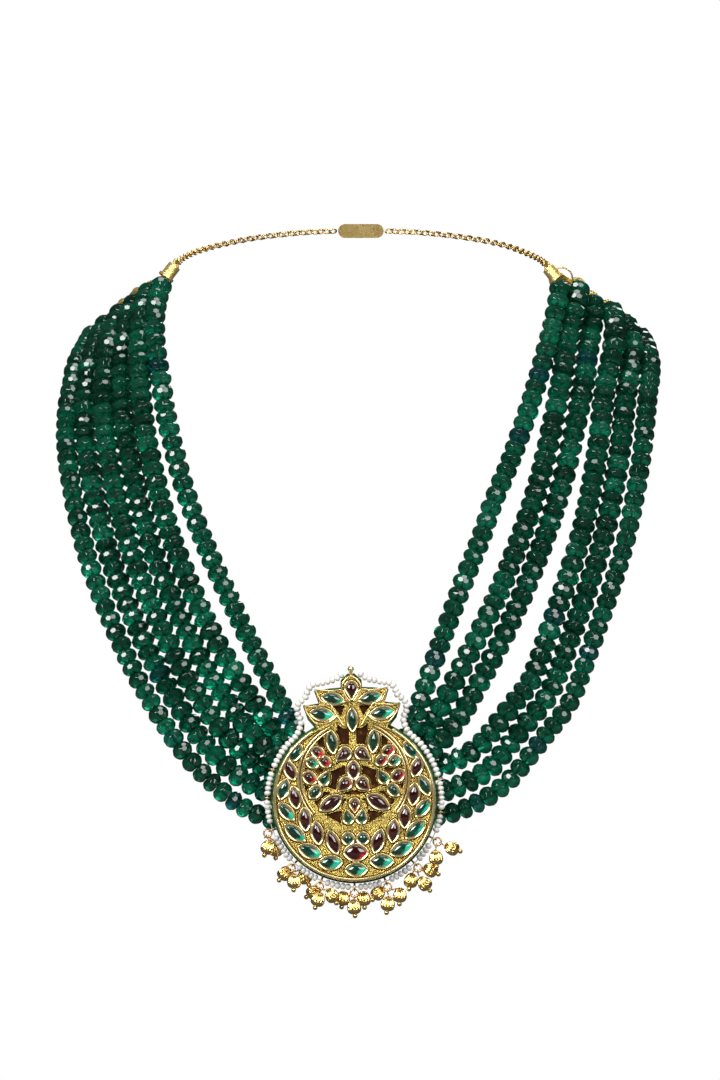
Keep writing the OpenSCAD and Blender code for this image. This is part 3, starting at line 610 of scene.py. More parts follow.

# Stones of the right half: across, up, length, width, angle, shape, strength of the painted glow that stands
# for the foil. Shape 0 is a pointed oval, 1 is round and 2 is a pear.
green_pairs = [
    (5.4, 29.1, 5.9, 2.5, 12, 0, 0.5), (8.6, 24.7, 6.3, 2.7, 8, 0, 1), (5.95, 16.8, 6.1, 2.2, 84, 0, 0.2),
    (11.7, 11, 2.9, 2.1, 25, 0, 0.9), (8.2, 6.7, 3.9, 2.3, 118, 2, 0.5), (11.2, 2.6, 3.5, 2.2, -48, 0, 0.3),
    (2, -4.6, 3.5, 2.2, 78, 2, 0.4), (2.1, -11, 2.6, 2.6, 0, 1, 0.4), (16.4, 13.9, 4.8, 2.3, -54, 0, 0.4),
    (20.2, 3.65, 5.4, 2.4, -69, 0, 0.4), (19.5, -2.8, 5.5, 2.4, 49, 0, 0.8),
    (17.2, -8.9, 6.5, 2.8, 40, 0, 0.7), (13.1, -14.3, 6.3, 3, 23, 0, 0.9), (7.3, -17.7, 6, 3.1, -1, 0, 1),
]
green_singles = [(0, 23, 6.1, 2.1, 90, 0, 0.3), (0, -19.9, 5.6, 2.9, 0, 0, 1)]
red_pairs = [
    (10.1, 13.9, 3.3, 2.1, 30, 0, 1), (8.1, 11.2, 3, 2.1, 38, 0, 0.9), (2.95, 12.9, 4.3, 2.7, -38, 2, 0.15),
    (2.8, 4.4, 4, 2.7, -45, 2, 0.4), (12.6, 6.7, 3.6, 2.4, 36, 0, 0.8), (6.8, -0.7, 6.6, 3, -31, 0, 0.1),
    (18.1, 8.95, 5.1, 2.4, 69, 0, 0.2), (17, 1.2, 5.7, 2.5, 81, 0, 0.2), (14.3, -5.1, 5.9, 2.5, 86, 0, 0.1),
    (10.9, -9.1, 5.9, 2.5, 82, 0, 0.1), (6.4, -11.9, 6.3, 2.6, 72, 0, 0.1),
]
red_singles = [
    (0, 31.3, 4.5, 2.9, -90, 2, 0.1), (0, 8.6, 4.6, 2.6, 90, 0, 0), (0, -1.6, 3.3, 2.1, -90, 2, 0.9),
    (0, -15, 6.2, 3.9, 0, 0, 0.5),
]


def both_halves(pairs, singles):
    """The stones of the right half, the same ones mirrored, and those in the middle."""
    return [*pairs, *[(-r[0], r[1], r[2], r[3], 180 - r[4], r[5], r[6]) for r in pairs], *singles]


greens, reds = both_halves(green_pairs, green_singles), both_halves(red_pairs, red_singles)


def on_pendant(points):
    """Points across, up and forwards from the pendant's back, moved to where it hangs."""
    u, v, w = np.asarray(points, float).T
    c, s = math.cos(pendant_lean), math.sin(pendant_lean)
    return np.stack([pendant_x + u * c - v * s, pendant_y - w, pendant_z + u * s + v * c], axis=1)


def at_level(outline, level):
    """Points across and up, all brought to one level forwards of the pendant's back."""
    return np.column_stack([outline, np.full(len(outline), float(level))])


def arc(radius, start, end, count, middle=(0, 0)):
    """Points along an arc, between two angles in degrees."""
    t = np.radians(np.linspace(start, end, count))
    return np.array(middle) + radius * np.stack([np.cos(t), np.sin(t)], axis=1)


def stone_outline(row, grow, count=40):
    """A stone's outline, grown by a margin, as evenly spaced points from its tip round to it again."""
    across, up, length, width, angle, shape = row[:6]
    length, width = length + 2 * grow, width + 2 * grow
    if shape == 1:
        fine = arc(width / 2, 0, 360, 121)
    elif shape == 0:
        bow = (length**2 + width**2) / (4 * width)
        half = math.degrees(math.asin(min(length / 2 / bow, 1)))
        top = arc(bow, 90 - half, 90 + half, 60, (0, width / 2 - bow))
        fine = np.concatenate([top, -top[1:]])
    else:
        ball = width / 2
        touch = math.degrees(math.acos(ball / (length - ball)))
        middle = (ball - length / 2, 0)
        tip = [(length / 2, 0)]
        fine = np.concatenate([tip, arc(ball, touch, 360 - touch, 80, middle), tip])
    along = lengths_along(fine)
    places = np.arange(count) / count * along[-1]
    even = np.stack([np.interp(places, along, fine[:, k]) for k in range(2)], axis=1)
    c, s = math.cos(math.radians(angle)), math.sin(math.radians(angle))
    return even @ np.array([[c, s], [-s, c]]) + (across, up)


def walls(rows, closed=True):
    """Points and faces between rows of points that follow each other outwards or upwards."""
    count = len(rows[0])
    faces = []
    for low in range(0, (len(rows) - 1) * count, count):
        for j in range(count if closed else count - 1):
            k = (j + 1) % count
            faces.append((low + j, low + k, low + count + k, low + count + j))
    return np.concatenate(rows), faces


def inside(points, corners):
    """Which points lie inside a polygon."""
    x, y = np.asarray(points, float).T
    found = np.zeros(len(x), bool)
    for (ax, ay), (bx, by) in zip(corners, np.roll(corners, -1, 0)):
        crosses = (ay > y) != (by > y)
        with np.errstate(divide="ignore", invalid="ignore"):
            found ^= crosses & (x < (bx - ax) * (y - ay) / (by - ay) + ax)
    return found


def rounded(corners, radius=0.35, steps=4):
    """A polygon with its corners rounded."""
    corners = np.array(corners, float)
    out = []
    for before, corner, after in zip(np.roll(corners, 1, 0), corners, np.roll(corners, -1, 0)):
        reach = min(radius, np.linalg.norm(before - corner) / 2.2, np.linalg.norm(after - corner) / 2.2)
        a, b = corner + reach * unit(before - corner), corner + reach * unit(after - corner)
        for t in np.linspace(0, 1, steps):
            out.append(a * (1 - t)**2 + 2 * corner * t * (1 - t) + b * t**2)
    return np.array(out)


def mirrored(line):
    """A line of the right half moved to the left half."""
    return [(-u, v) for u, v in line]


crown_outline = np.array([*crown_leaves, *mirrored(crown_leaves[::-1])], float)
crown_joint = math.degrees(math.atan2(crown_leaves[0][1], crown_leaves[0][0]))
foot_angle = math.degrees(math.acos(crown_leaves[0][0] / plate_r))
round_outline = arc(plate_r, 180 - foot_angle, 360 + foot_angle, 120)
plate_outline = np.concatenate([round_outline, crown_outline[1:-1]])
openings = [rounded(o) for o in opening_pairs] + [rounded(mirrored(o)[::-1]) for o in opening_pairs]
ribs = rib_singles + rib_pairs + [(width, mirrored(line)) for width, line in rib_pairs]


def rib_shapes(width, line):
    """A rib as one rounded shape for each of its straight parts."""
    width += rib_swell
    for (ax, ay), (bx, by) in zip(line, line[1:]):
        angle = math.degrees(math.atan2(by - ay, bx - ax))
        yield np.concatenate([arc(width / 2, angle + 90, angle + 270, 6, (ax, ay)),
                              arc(width / 2, angle - 90, angle + 90, 6, (bx, by))])


def foot_of(row):
    """The level that a stone's setting stands on, which is lower inside the inner circle."""
    in_circle = math.hypot(row[0], row[1] - inner_circle_v) < inner_circle_r - 1
    return circle_level if in_circle else plate_level


kundan_gold = gold_finish("kundan_gold", (0.93, 0.72, 0.20), (0.10, 0.065, 0.010), 1800.0, 0.9, 0.03, 0.32)
bright_gold = gold_finish("burnished_gold", (1, 0.87, 0.5), (0.9, 0.64, 0.2), 1500.0, 0.2, 0.08, 0.02, 0.8)
amber_gold = gold_finish("amber_gold", (0.70, 0.36, 0.06), (0.30, 0.12, 0.02), 1500.0, 0.5, 0.25, 0.03)
# Painted shade: a near black gold for the groove round each setting and the flat bands inside the rim and
# rings.
painted_shade_gold = gold_finish("painted_shade_gold", (0.15, 0.095, 0.018), (0.03, 0.018, 0.004), 2000.0, 0.8, 0.3, 0.2)

gold_foil, tree, shader = new_material("stone_foil", Metallic=0.95)
creases = speckle(tree, 1500.0, 3.0)
foil_tone = ramp(tree, creases, (0.3, (0.80, 0.62, 0.28)), (0.6, (1.0, 0.88, 0.62)))
feed(shader, Base_Color=foil_tone, Roughness=mapped(tree, creases, new=(0.22, 0.4)))

lac_bed, tree, shader = new_material("lac_bed", IOR=1.15)
lumps = speckle(tree, 700.0, 4.0)
lac_tone = ramp(tree, lumps, (0.3, (0.022, 0.007, 0.002)), (0.62, (0.050, 0.016, 0.004)),
                (0.75, (0.22, 0.08, 0.01)))
feed(shader, Base_Color=lac_tone, Roughness=mapped(tree, lumps, new=(0.3, 0.6)))

# The front's finishes in the order of its materials, the margins round a stone of the painted shade and of
# the sunk groove, the flat bands of painted shade, the loose grid of points that carries the rough surface,
# and how uneven that surface and the lac bed are.
front_finishes = [kundan_gold, bright_gold, gold_foil, lac_bed, amber_gold, painted_shade_gold]
rough, burnished, foil, lac, amber, painted_shade = range(len(front_finishes))
groove_in, groove_mid, groove_out, groove_depth = 0.8, 0.88, 1.04, 0.25
ring_shade_bands = [(15.25, 15.55), (16.25, 16.5)]
ring_shade_span = (24, 130)
rim_shade_band = (22.0, 22.35)
outline_points, groove_points, on_line = 28, 32, 0.02
circle_stop, merge_reach = 357, 0.0001
grid_step, grid_squash, grid_jitter, grid_clear = 0.62, 0.87, 0.15, 0.25
grid_low, grid_wide, grid_high = -24, 50, 62
dimple_depth, dimples_per_mm, dimple_seed = 0.14, 1.7, 0.5
bed_rise, bed_lumps, bed_seed = 0.15, 0.12, 7


def in_painted_shade(points):
    """Which points get painted shade: along the groove round a setting, and in flat bands inside the rim and
    along the inner rings.
    """
    under, found = np.zeros(len(points), bool), np.zeros(len(points), bool)
    for row in greens + reds:
        under |= inside(points, stone_outline(row, groove_in, groove_points))
        found |= inside(points, stone_outline(row, groove_out, groove_points))
    u, v = points[:, 0], points[:, 1] - inner_circle_v
    r, angle = np.hypot(u, v), np.degrees(np.arctan2(np.abs(u), v))
    in_span = (angle > ring_shade_span[0]) & (angle < ring_shade_span[1])
    for inner, outer in ring_shade_bands:
        found |= (r > inner) & (r < outer) & in_span
    r = np.hypot(points[:, 0], points[:, 1])
    found |= (r > rim_shade_band[0]) & (r < rim_shade_band[1]) & (points[:, 1] < crown_leaves[0][1])
    return found & ~under


def plate_lines():
    """The shapes that stay inside the cut circle, and every closed line that the plate's faces follow."""
    kept = [stone_outline(row, setting_spread, outline_points) for row in greens + reds
            if math.hypot(row[0], row[1] - inner_circle_v) < inner_circle_r]
    kept += [shape for width, line in ribs for shape in rib_shapes(width, line)]
    loops = [plate_outline, arc(cut_circle_r, 0, circle_stop, 90, (0, inner_circle_v)), *openings, *kept]
    loops += [stone_outline(row, grow, groove_points) for row in greens + reds
              for grow in (groove_in, groove_mid, groove_out)]
    loops += [arc(r, 0, circle_stop, 120, (0, inner_circle_v)) for pair in ring_shade_bands for r in pair]
    loops += [arc(r, 0, circle_stop, 120) for r in rim_shade_band]
    return kept, loops


def plate_grid(loops):
    """Loosely spaced points on the plate, clear of its lines."""
    draw = random.Random("front plate")
    rows, columns = int(grid_high / grid_step / grid_squash), int(grid_wide / grid_step)
    grid = np.array([(-grid_wide / 2 + (column + row % 2 / 2) * grid_step + either_way(draw, grid_jitter),
                      grid_low + row * grid_step * grid_squash + either_way(draw, grid_jitter))
                     for row in range(rows) for column in range(columns)])
    near_line = np.zeros(len(grid), bool)
    for corner in np.concatenate(loops):
        near_line |= np.hypot(*(grid - corner).T) < grid_clear
    return grid[inside(grid, plate_outline) & ~near_line]


def front_plate(pile):
    """The rough gold body, with its openings and grooves, as one closed shape."""
    kept, loops = plate_lines()
    points, edges = [], []
    for loop in loops:
        start = len(points)
        points += [Vector(p) for p in loop]
        edges += [(start + i, start + (i + 1) % len(loop)) for i in range(len(loop))]
    points += [Vector(p) for p in plate_grid(loops)]
    flat, _, triangles, *_ = delaunay_2d_cdt(points, edges, [], 0, merge_reach)
    flat = np.array([p[:] for p in flat])
    middles = np.array([flat[list(t)].mean(axis=0) for t in triangles])
    in_plate = inside(middles, plate_outline)
    pierced = np.hypot(middles[:, 0], middles[:, 1] - inner_circle_v) < cut_circle_r
    for shape in kept:
        pierced &= ~inside(middles, shape)
    for opening in openings:
        pierced |= inside(middles, opening)
    body = [tuple(t) for t, keep in zip(triangles, in_plate & ~pierced) if keep]
    holes = [tuple(t) for t, keep in zip(triangles, in_plate & pierced) if keep]
    in_circle = np.hypot(flat[:, 0], flat[:, 1] - inner_circle_v) < inner_circle_r
    sunk = np.zeros(len(flat), bool)
    for row in greens + reds:
        sunk |= inside(flat, stone_outline(row, groove_mid + on_line, groove_points))
    dimples = [dimple_depth * noise.noise(Vector((u * dimples_per_mm, v * dimples_per_mm, dimple_seed)))
               for u, v in flat]
    top = np.where(in_circle, circle_level, plate_level) - groove_depth * sunk + dimples
    lumps = [bed_rise + bed_lumps * noise.noise(Vector((u, v, bed_seed))) for u, v in flat]
    bed = floor_level + np.array(lumps)
    levels = (top, bed, np.full(len(flat), front_back))
    upper, lower, under = (np.column_stack([flat, level]) for level in levels)
    # Faces along the grooves and in the flat bands get the painted shade.
    gets_painted_shade = in_painted_shade(np.array([flat[list(t)].mean(axis=0) for t in body]))
    pile.add(on_pendant(upper), body, [painted_shade if g else rough for g in gets_painted_shade])
    count = len(flat)
    sides = {(a, b) for t in body for a, b in zip(t, (*t[1:], t[0]))}
    hole_sides = {(a, b) for t in holes for a, b in zip(t, (*t[1:], t[0]))}
    faces = []
    for a, b in sorted(sides):
        if (b, a) not in sides:
            drop = count if (b, a) in hole_sides else 2 * count
            faces.append((a, drop + a, drop + b, b))
    finishes = [amber] * len(faces) + [lac] * len(holes) + [rough] * (len(body) + len(holes))
    faces += [tuple(count + i for i in t) for t in holes]
    faces += [tuple(2 * count + i for i in t[::-1]) for t in body + holes]
    pile.add(on_pendant(np.concatenate([upper, lower, under])), faces, finishes, False)


# A setting's section: margin round the stone, then level above its foot. The first strips are foil. Then a
# ridge's section: share of its half width, then share of its height.
setting_section = [(-0.2, -0.1), (0.02, 0.24), (0.12, 0.31), (0.46, 0.465), (0.56, 0.48), (0.66, 0.43),
                   (0.76, 0.20), (0.84, -0.35)]
foil_strips = 2
ridge_section = [(-1, 0), (-0.95, 0.6), (-0.6, 0.92), (0, 1), (0.6, 0.92), (0.95, 0.6), (1, 0)]


def setting(pile, row):
    """What holds one stone: a narrow strip of foil beside it, then a round ridge of burnished gold."""
    foot = foot_of(row)
    rows = [on_pendant(at_level(stone_outline(row, grow), foot + rise)) for grow, rise in setting_section]
    points, faces = walls(rows)
    foil_faces = foil_strips * len(rows[0])
    finishes = [foil] * foil_faces + [burnished] * (len(faces) - foil_faces)
    pile.add(points, faces, finishes, [finish != foil for finish in finishes])


def ridge(pile, line, width, foot, top):
    """A rounded gold ridge along a line of points across and up."""
    line = np.asarray(line, float)
    ahead = np.gradient(line, axis=0)
    out = np.stack([ahead[:, 1], -ahead[:, 0]], axis=1)
    out /= np.linalg.norm(out, axis=1)[:, None]
    rows = [on_pendant(at_level(line + width / 2 * share * out, foot + (top - foot) * rise))
            for share, rise in ridge_section]
    pile.add(*walls(rows, closed=False), burnished)


def turned_ring(around, radii, height):
    """Points round the upright axis at one height."""
    heights = np.full(len(around), float(height))
    return np.stack([radii * np.cos(around), radii * np.sin(around), heights], axis=1)


def lathe(profile, sides=24):
    """Points and faces of a turned shape; the profile is (radius, height) from end to end, on the axis."""
    around = np.arange(sides) * 2 * math.pi / sides
    points, faces = walls([turned_ring(around, r, height) for r, height in profile])
    return points, faces + end_faces(len(points), sides)


pile = Pile()
front_plate(pile)
for row in greens + reds:
    setting(pile, row)
rim_line = arc(rim_r - rim_w / 2, 180 - crown_joint + rim_stop, 360 + crown_joint - rim_stop, 160)
ridge(pile, rim_line, rim_w, rim_foot, rim_top)
for start, end in ring_spans:
    for radius, width, top in inner_rings:
        ridge(pile, arc(radius, start, end, 60, (0, inner_circle_v)), width, circle_level, top)
for line in crown_ridges:
    for half in (line, mirrored(line)):
        ridge(pile, smooth_rows(half, 5), crown_ridge_w, plate_level - crown_ridge_sink,
              plate_level + crown_ridge_rise)
stem_profile = [(stem_r, 0), (stem_r * 0.8, 1.2), (stem_r, 2.2), (knob_r, 2.9), (knob_r * 0.7, 3.6)]
points, faces = lathe([*stem_profile, (0.1, 3.9)])
points = np.column_stack([points[:, 0], points[:, 2] + stem_foot, points[:, 1] + floor_level])
pile.add(on_pendant(points), faces, burnished)
pile.piece("kundan_front", front_finishes, "kundan_gold", "pendant_front")

# Set stones. Green and red cabochons, cut to pointed ovals, pears and rounds, each on a bright foil in its
# setting. On the side away from the light, where the foil would shine through, each stone has a painted
# glow:
# a lighter colour and an emission.
stone_top, stone_wall, stone_gap = 5.58, 0.2, 0.02
dome_steps = np.radians([18, 34, 50, 64, 77])
# The way, across and up, to the side of each stone where its glow is painted.
painted_glow_side = unit((0.8, -0.6))


def cabochons(name, rows, material, slot, node):
    """All stones of one colour as one mesh; each point keeps how near it lies to the side where a glow is
    painted.
    """
    pile = Pile()
    painted_glows = []
    for row in rows:
        foot = foot_of(row) + stone_gap
        shoulder = foot + stone_wall
        section = [(1.0, foot), (1.0, shoulder)]
        section += [(math.cos(t), shoulder + (stone_top - shoulder) * math.sin(t)) for t in dome_steps]
        outline, middle = stone_outline(row, 0.0), np.array(row[:2])
        rings = [middle + (outline - middle) * share for share, _ in section]
        points, faces = walls([on_pendant(at_level(r, level)) for r, (_, level) in zip(rings, section)])
        top, around = len(points), len(outline)
        points = np.concatenate([points, on_pendant([(*middle, stone_top)])])
        faces += [(top - around + j, top - around + (j + 1) % around, top) for j in range(around)]
        faces.append(tuple(range(around))[::-1])
        half = np.abs((outline - middle) @ painted_glow_side).max()
        side = np.concatenate([(r - middle) @ painted_glow_side / half for r in rings] + [[0]])
        painted_glows += list(side * row[6])
        pile.add(points, faces)
    made = pile.piece(name, [material], slot, node)
    made.data.attributes.new("painted_glow", "FLOAT", "POINT").data.foreach_set("value", painted_glows)


def stone_finish(name, dark, veil, lit, strength):
    """A glassy stone with a painted glow on one side, a lighter colour and an emission, for its foil showing
    through.
    """
    material, tree, shader = new_material(name, IOR=1.55, Coat_Weight=0.8, Coat_IOR=1.7, Coat_Roughness=0.03,
                                          Emission_Strength=1.0)
    body = placed(tree, clouds, Clear=dark, Cloudy=veil, Size=500.0, Amount=0.6)
    uneven = worked_out(tree, "MULTIPLY", body["Veil"], 0.25)
    uneven = worked_out(tree, "ADD", mesh_value(tree, "painted_glow"), uneven)
    # Painted light: towards the glowing side the stone takes the lit colour and an emission.
    painted_glow_patch = mapped(tree, uneven, (0.30, 0.72), interpolation_type="SMOOTHSTEP")
    painted_glow = mixed(tree, painted_glow_patch, (0, 0, 0), tuple(strength * c for c in lit))
    feed(shader, Base_Color=mixed(tree, painted_glow_patch, body["Color"], lit), Emission_Color=painted_glow,
         Roughness=mapped(tree, body["Veil"], new=(0.04, 0.12)))
    return material


emerald = stone_finish("emerald_stone", (0.0005, 0.026, 0.012), (0.001, 0.075, 0.036), (0.008, 0.50, 0.30),
                       0.35)
ruby = stone_finish("ruby_stone", (0.024, 0.001, 0.001), (0.080, 0.002, 0.003), (0.65, 0.010, 0.02), 0.3)
cabochons("emerald_cabochons", greens, emerald, "emerald", "emeralds")
cabochons("ruby_cabochons", reds, ruby, "ruby", "rubies")

# Seed pearl border. Small oval pearls on one thread round the whole outline, laid against the enamel, with
# room left at each wire loop.
pearl_across, pearl_pitch, pearl_level, pearl_tilt = 2.05, 1.43, 1.75, 0.16
smallest_pearl, pearl_fill, pearl_thread_r, pearl_spin = 0.9, 0.97, 0.14, 6
pearl_path_r, crown_pearl_angle, path_steps = 24.85, 50, 8
pearl_profile = [(0.30, -1), (0.62, -0.9), (0.86, -0.62), (0.98, -0.25), (1, 0), (0.98, 0.25), (0.86, 0.62),
                 (0.62, 0.9), (0.30, 1)]

# The way of the thread round the right half of the crown, then each wire loop's angle and the room it needs.
crown_pearls = [
    (2.3, 36.3), (4.6, 34.7), (8, 33.8), (11.2, 33.2), (12.6, 31.2), (13.3, 29.6), (15.2, 28), (15.6, 25.3),
    (14.6, 22.8),
]
border_loops = [
    (158, 1.3), (177, 1.3), (198.5, 3.9), (225, 2.6), (246, 2.4), (268.5, 2.2), (289.5, 2.4), (312, 2.8),
    (332.5, 3.7), (350.5, 1.3), (372.5, 1.3),
]

seed_pearl, tree, shader = new_material("seed_pearl", Coat_Weight=0.4, Coat_Roughness=0.15)
tone = ramp(tree, mesh_value(tree, "shade"), (0.0, (0.62, 0.62, 0.58)), (0.5, (0.76, 0.76, 0.72)),
            (1.0, (0.86, 0.85, 0.80)))
nacre = placed(tree, clouds, Clear=tone, Cloudy=(0.88, 0.88, 0.86), Size=1400.0, Amount=0.6)
feed(shader, Base_Color=nacre["Color"], Roughness=mapped(tree, nacre["Veil"], new=(0.25, 0.45)))

first_angle = 180 - crown_pearl_angle
round_part = arc(pearl_path_r, first_angle, 360 + crown_pearl_angle, 29)
way_round = np.concatenate([mirrored(crown_pearls), round_part, crown_pearls[::-1]])
pearl_line = at_level(smooth_rows(way_round, path_steps), pearl_level)
past = lengths_along(pearl_line)
round_start = past[path_steps * len(crown_pearls)]
loop_places = [round_start + math.radians(a - first_angle) * pearl_path_r for a, _ in border_loops]
span_starts = [0] + [p + room / 2 for p, (_, room) in zip(loop_places, border_loops)]
span_ends = [p - room / 2 for p, (_, room) in zip(loop_places, border_loops)] + [past[-1]]
pearl_points, pearl_faces = lathe(pearl_profile, 14)
draw = random.Random("seed pearls")
pile = Pile()
for start, end in zip(span_starts, span_ends):
    count = round((end - start) / pearl_pitch)
    pitch = (end - start) / count
    for place, forward in zip(*points_along(pearl_line, start + pitch * (np.arange(count) + 0.5))):
        across = pearl_across / 2 * draw.uniform(smallest_pearl, 1)
        stretch = (across, across, pitch / 2 * pearl_fill)
        spin = (either_way(draw, pearl_tilt), either_way(draw, pearl_tilt), draw.uniform(0, pearl_spin))
        points = (pearl_points * stretch) @ turned(*spin).T @ axes_along(forward, (0, 0, 1)).T + place
        pile.add(on_pendant(points), pearl_faces, shade=draw.random())
points, faces = wire(pearl_line[::3], pearl_thread_r, 6)
pile.add(on_pendant(points), faces, shade=0.0)
pile.piece("seed_pearls", [seed_pearl], "pearl", "pearl_border")

# Jump rings. Gold wire rings, closed by hand, one through each hanging loop of the border.
jump_ring_r, ring_wire_r = 1.15, 0.24
loop_path_r, loop_r, loop_wire_r, loop_level = 25.0, 0.95, 0.22, 1.7
ring_slack = 0.05
ring_drop = jump_ring_r - loop_wire_r - ring_wire_r - ring_slack
first_hanging, hanging_count = 2, 7
wire_gold = gold_finish("wire_gold", (0.90, 0.56, 0.17), (0.50, 0.25, 0.05), 1800.0, 0.5, 0.14, 0.01, 0.85)


def ring_middle(number):
    """Where the middle of a jump ring hangs, below its loop of the border."""
    a = math.radians(border_loops[first_hanging + number - 1][0]) + pendant_lean
    out = np.array([math.cos(a), 0, math.sin(a)])
    loop_end = np.array([pendant_x, pendant_y - loop_level, pendant_z]) + (loop_path_r + loop_r) * out
    return loop_end + ring_drop * unit(out - (0, 0, 1))


def ring_line(middle, radius, across, count=28):
    """Points round a ring whose hole points along across."""
    across = unit(across)
    side = unit(np.cross(across, (0.1, 0.3, 0.95)))
    up = np.cross(across, side)
    t = np.arange(count) * 2 * math.pi / count
    return middle + radius * (np.outer(np.cos(t), side) + np.outer(np.sin(t), up))


for number in range(1, hanging_count + 1):
    pile = Pile()
    pile.add(*wire(ring_line(ring_middle(number), jump_ring_r, (0, 1, 0)), ring_wire_r, 9, closed=True))
    pile.piece(f"wire_ring_{number}", [wire_gold], "gold_wire", f"jump_ring_{number}")

# Bells. Hollow gold ghungroo, raised in two halves: a fluted upper one and a smooth pointed lower one with a
# ball soldered to its tip. Each hangs by a wire stem and link from a jump ring.
# Each bell: x, z, level forwards of the pendant's back, swing to the right, ring, place on the ring.
bell_rows = [
    (-26.2, -161.9, 3.7, -24, 1, -35), (-24, -162.5, -0.8, -2, 1, 25),
    (-21.4, -169.4, -0.8, -39, 2, -60), (-18.8, -171.6, 4, -3, 2, 0), (-15.9, -170.4, -2, 28, 2, 50),
    (-13.1, -174.8, -0.8, -56, 3, -60), (-11.9, -176.8, 4, -20, 3, -20), (-8.1, -175.7, 2.2, 30, 3, 50),
    (-4.8, -176.5, -0.8, -10, 4, -60), (-1.7, -179, 3.1, 6, 4, 0), (1.1, -176.6, -2, 4, 4, 60),
    (5.3, -175, -0.5, -39, 5, -60), (8, -178.1, 3.4, -9, 5, 0), (11.4, -175.6, -0.5, -3, 5, 60),
    (14.6, -171.4, -0.5, -13, 6, -60), (18.3, -172.3, 3.4, 38, 6, 0), (20, -168.5, -0.5, 62, 6, 60),
    (21.7, -164.9, 2.5, 3, 7, -15), (26.1, -162.3, 1.3, 70, 7, 65),
]
bell_r, bell_top, bell_girdle, bell_bottom = 2.05, 2.1, -0.8, -2.3
tip_level, tip_r = -2.7, 0.695
bell_link_r, bell_link_wire_r, bell_stem_r, bell_stem_sink, bell_spin = 0.5, 0.18, 0.2, 0.2, 6
flutes, flute_steps, flute_depth, flute_sharpness, flute_fade = 14, 6, 0.24, 0.6, 1.3
first_flute_row, flute_rows = 12, 10

# The band under the parting line: share of the bell's radius, then height above the line.
parting_band = [(0.93, -0.05), (0.97, -0.16), (0.94, -0.3)]

bell_gold = gold_finish("bell_gold", (1.0, 0.77, 0.31), (0.78, 0.50, 0.14), 2600.0, 0.4, 0.06, 0.005, 0.95)


def bell_shape():
    """The bell's body: flutes that die out at the top and end at the parting line, then a smooth half."""
    around = np.arange(flutes * flute_steps) * 2 * math.pi / (flutes * flute_steps)
    valleys = 1 - np.abs(np.sin(flutes * around / 2)) ** flute_sharpness
    rows = []
    for t in np.radians(np.linspace(first_flute_row, 90, flute_rows)):
        depth = flute_depth * bell_r * min(1, flute_fade * math.sin(t))
        height = bell_girdle + (bell_top - bell_girdle) * math.cos(t)
        rows.append(turned_ring(around, bell_r * math.sin(t) - depth * valleys, height))
    band_share, band_drop = parting_band[-1]
    point_drop = bell_bottom - bell_girdle - band_drop
    below = parting_band + [(band_share * math.cos(t), band_drop + point_drop * math.sin(t))
                            for t in np.radians([20, 38, 54, 68, 80])]
    rows += [turned_ring(around, bell_r * share, bell_girdle + drop) for share, drop in below]
    points, faces = walls(rows)
    return points, faces + end_faces(len(points), len(around))


bell_points, bell_faces = bell_shape()
ball_points, ball_faces = lathe([(tip_r * math.sin(t), -tip_r * math.cos(t))
                                 for t in np.radians([8, 30, 52, 74, 90, 106, 128, 150, 172])], 18)
for number, (x, z, forwards, swing, ring, place_on_ring) in enumerate(bell_rows, 1):
    draw = random.Random(f"bell {number}")
    place = np.array([x, pendant_y - forwards, z])
    lean = math.radians(swing)
    axis = np.array([-math.sin(lean), 0, math.cos(lean)])
    turn = math.radians(place_on_ring)
    hold = ring_middle(ring) + jump_ring_r * np.array([math.sin(turn), 0, -math.cos(turn)])
    along_ring = np.array([math.cos(turn), 0, math.sin(turn)])
    top = place + (bell_top - bell_stem_sink) * axis
    across_ring = (top - hold) - ((top - hold) @ along_ring) * along_ring
    low = hold + bell_link_r * unit(across_ring)
    link = ring_line(hold, bell_link_r, along_ring, 20)
    pose = turned(0, -lean, 0) @ turned(0, 0, draw.uniform(0, bell_spin))
    pile = Pile()
    pile.add(bell_points @ pose.T + place, bell_faces)
    pile.add((ball_points + (0, 0, tip_level)) @ pose.T + place, ball_faces)
    pile.add(*wire([low, (low + top) / 2, top], bell_stem_r, 8), 1)
    pile.add(*wire(link, bell_link_wire_r, 8, closed=True), 1)
    pile.piece(f"ghungroo_{number}", [bell_gold, wire_gold], "bell_gold", f"bell_{number}")

# Floor, lights and camera. A pale floor far under the pendant, one large soft light from the upper left with
# weaker ones from the right, above and behind, and a camera square on to the necklace, at 3.5 pixels to the
# millimetre. The floor looks pale but throws little light back at the gold.
pixels_per_mm = 3.5
picture_height = 1080
neck_row = 280
camera_distance = 1.5
floor_z, floor_size = -0.26, 4.0
necklace_middle = Vector((0, -0.04, -0.09))

pale_floor, tree, shader = new_material("pale_floor", Roughness=0.9)
pale = ramp(tree, speckle(tree, 6.0), (0.2, (0.80, 0.80, 0.79)), (0.8, (0.86, 0.86, 0.85)))
seen_direct = add_node(tree, "ShaderNodeLightPath").outputs["Is Camera Ray"]
feed(shader, Base_Color=mixed(tree, seen_direct, (0.07, 0.07, 0.07), pale))
floor_mesh = bpy.data.meshes.new("floor")
half = floor_size / 2
corners = [(x, y, floor_z) for x, y in ((-half, -half), (half, -half), (half, half), (-half, half))]
floor_mesh.from_pydata(corners, [], [(0, 1, 2, 3)])
floor_mesh.materials.append(pale_floor)
floor = bpy.data.objects.new("floor", floor_mesh)
bpy.context.scene.collection.objects.link(floor)


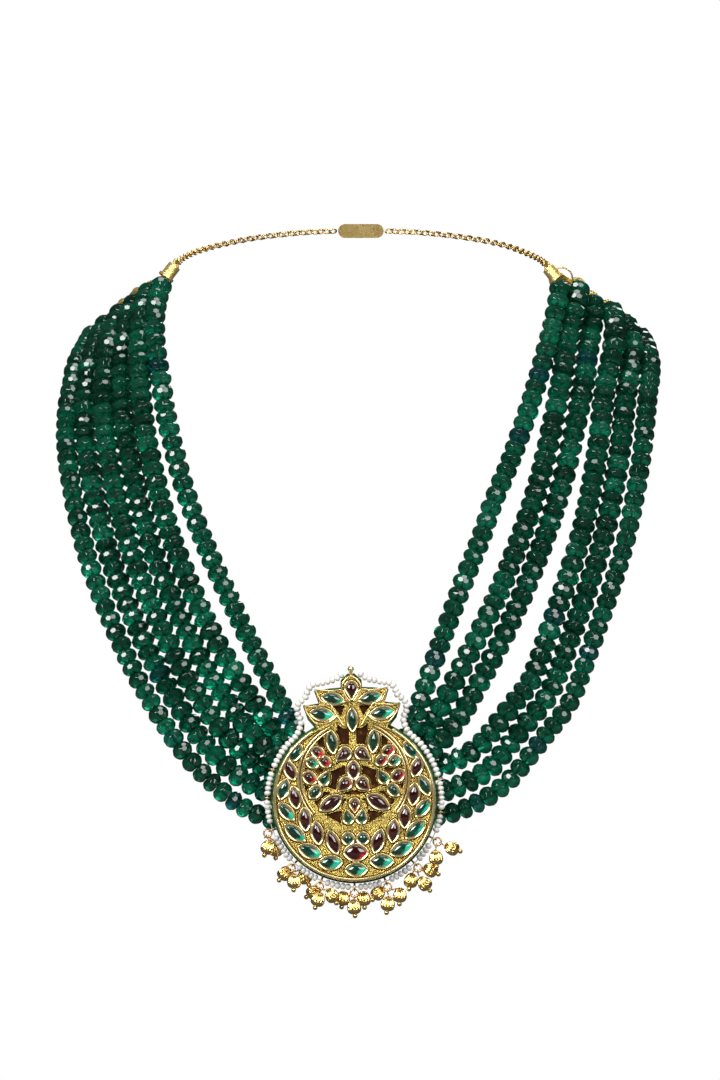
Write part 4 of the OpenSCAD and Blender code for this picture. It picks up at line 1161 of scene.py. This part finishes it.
def softbox(name, place, size, power):
    """A square soft light aimed at the middle of the necklace."""
    data = bpy.data.lights.new(name, "AREA")
    data.shape = "SQUARE"
    data.size = size
    data.energy = power
    lamp = bpy.data.objects.new(name, data)
    lamp.location = place
    lamp.rotation_mode = "QUATERNION"
    lamp.rotation_quaternion = (necklace_middle - Vector(place)).to_track_quat("-Z", "Y")
    bpy.context.scene.collection.objects.link(lamp)


softbox("key_light", (-0.70, -1.20, 0.50), 0.62, 16.5)
softbox("fill_light", (0.62, -1.25, 0.42), 0.78, 10)
softbox("top_light", (0.1, -0.2, 1.2), 0.6, 6)
softbox("back_light", (0.55, 1.15, 0.75), 0.6, 6)

# The room is white to the camera, dim to what the gold reflects, and bright behind the clear green beads.
world = bpy.data.worlds.new("studio")
bpy.context.scene.world = world
world.use_nodes = True
tree = world.node_tree
tree.nodes.clear()
path = add_node(tree, "ShaderNodeLightPath").outputs
way = add_node(tree, "ShaderNodeTexCoord").outputs["Generated"]
way = add_node(tree, "ShaderNodeSeparateXYZ", {0: way}).outputs
room = ramp(tree, mapped(tree, way["Z"], (-1, 1)), (0.0, (0.05, 0.05, 0.05)), (0.45, (0.015, 0.015, 0.015)),
            (1.0, (0.12, 0.12, 0.125)))
room = mixed(tree, mapped(tree, way["Y"], (-0.75, -1.0)), room, (0.045, 0.045, 0.045))
room = mixed(tree, path["Is Diffuse Ray"], room, (0.45, 0.45, 0.46))
through = mixed(tree, mapped(tree, way["Y"], (0.2, 0.9)), (0.05, 0.05, 0.05), (1.0, 1.0, 1.0))
room = mixed(tree, path["Is Transmission Ray"], room, through)
seen = mixed(tree, path["Is Camera Ray"], room, (1.0, 1.0, 1.0))
sky = add_node(tree, "ShaderNodeBackground", {"Color": seen}).outputs["Background"]
add_node(tree, "ShaderNodeOutputWorld", {"Surface": sky})

bpy.context.scene.view_settings.view_transform = "Standard"
lens = bpy.data.cameras.new("camera")
lens.type = "ORTHO"
lens.ortho_scale = picture_height / pixels_per_mm * mm
camera = bpy.data.objects.new("camera", lens)
camera.location = (0, -camera_distance, (neck_row - picture_height / 2) / pixels_per_mm * mm)
camera.rotation_euler = (math.pi / 2, 0, 0)
bpy.context.scene.collection.objects.link(camera)
bpy.context.scene.camera = camera
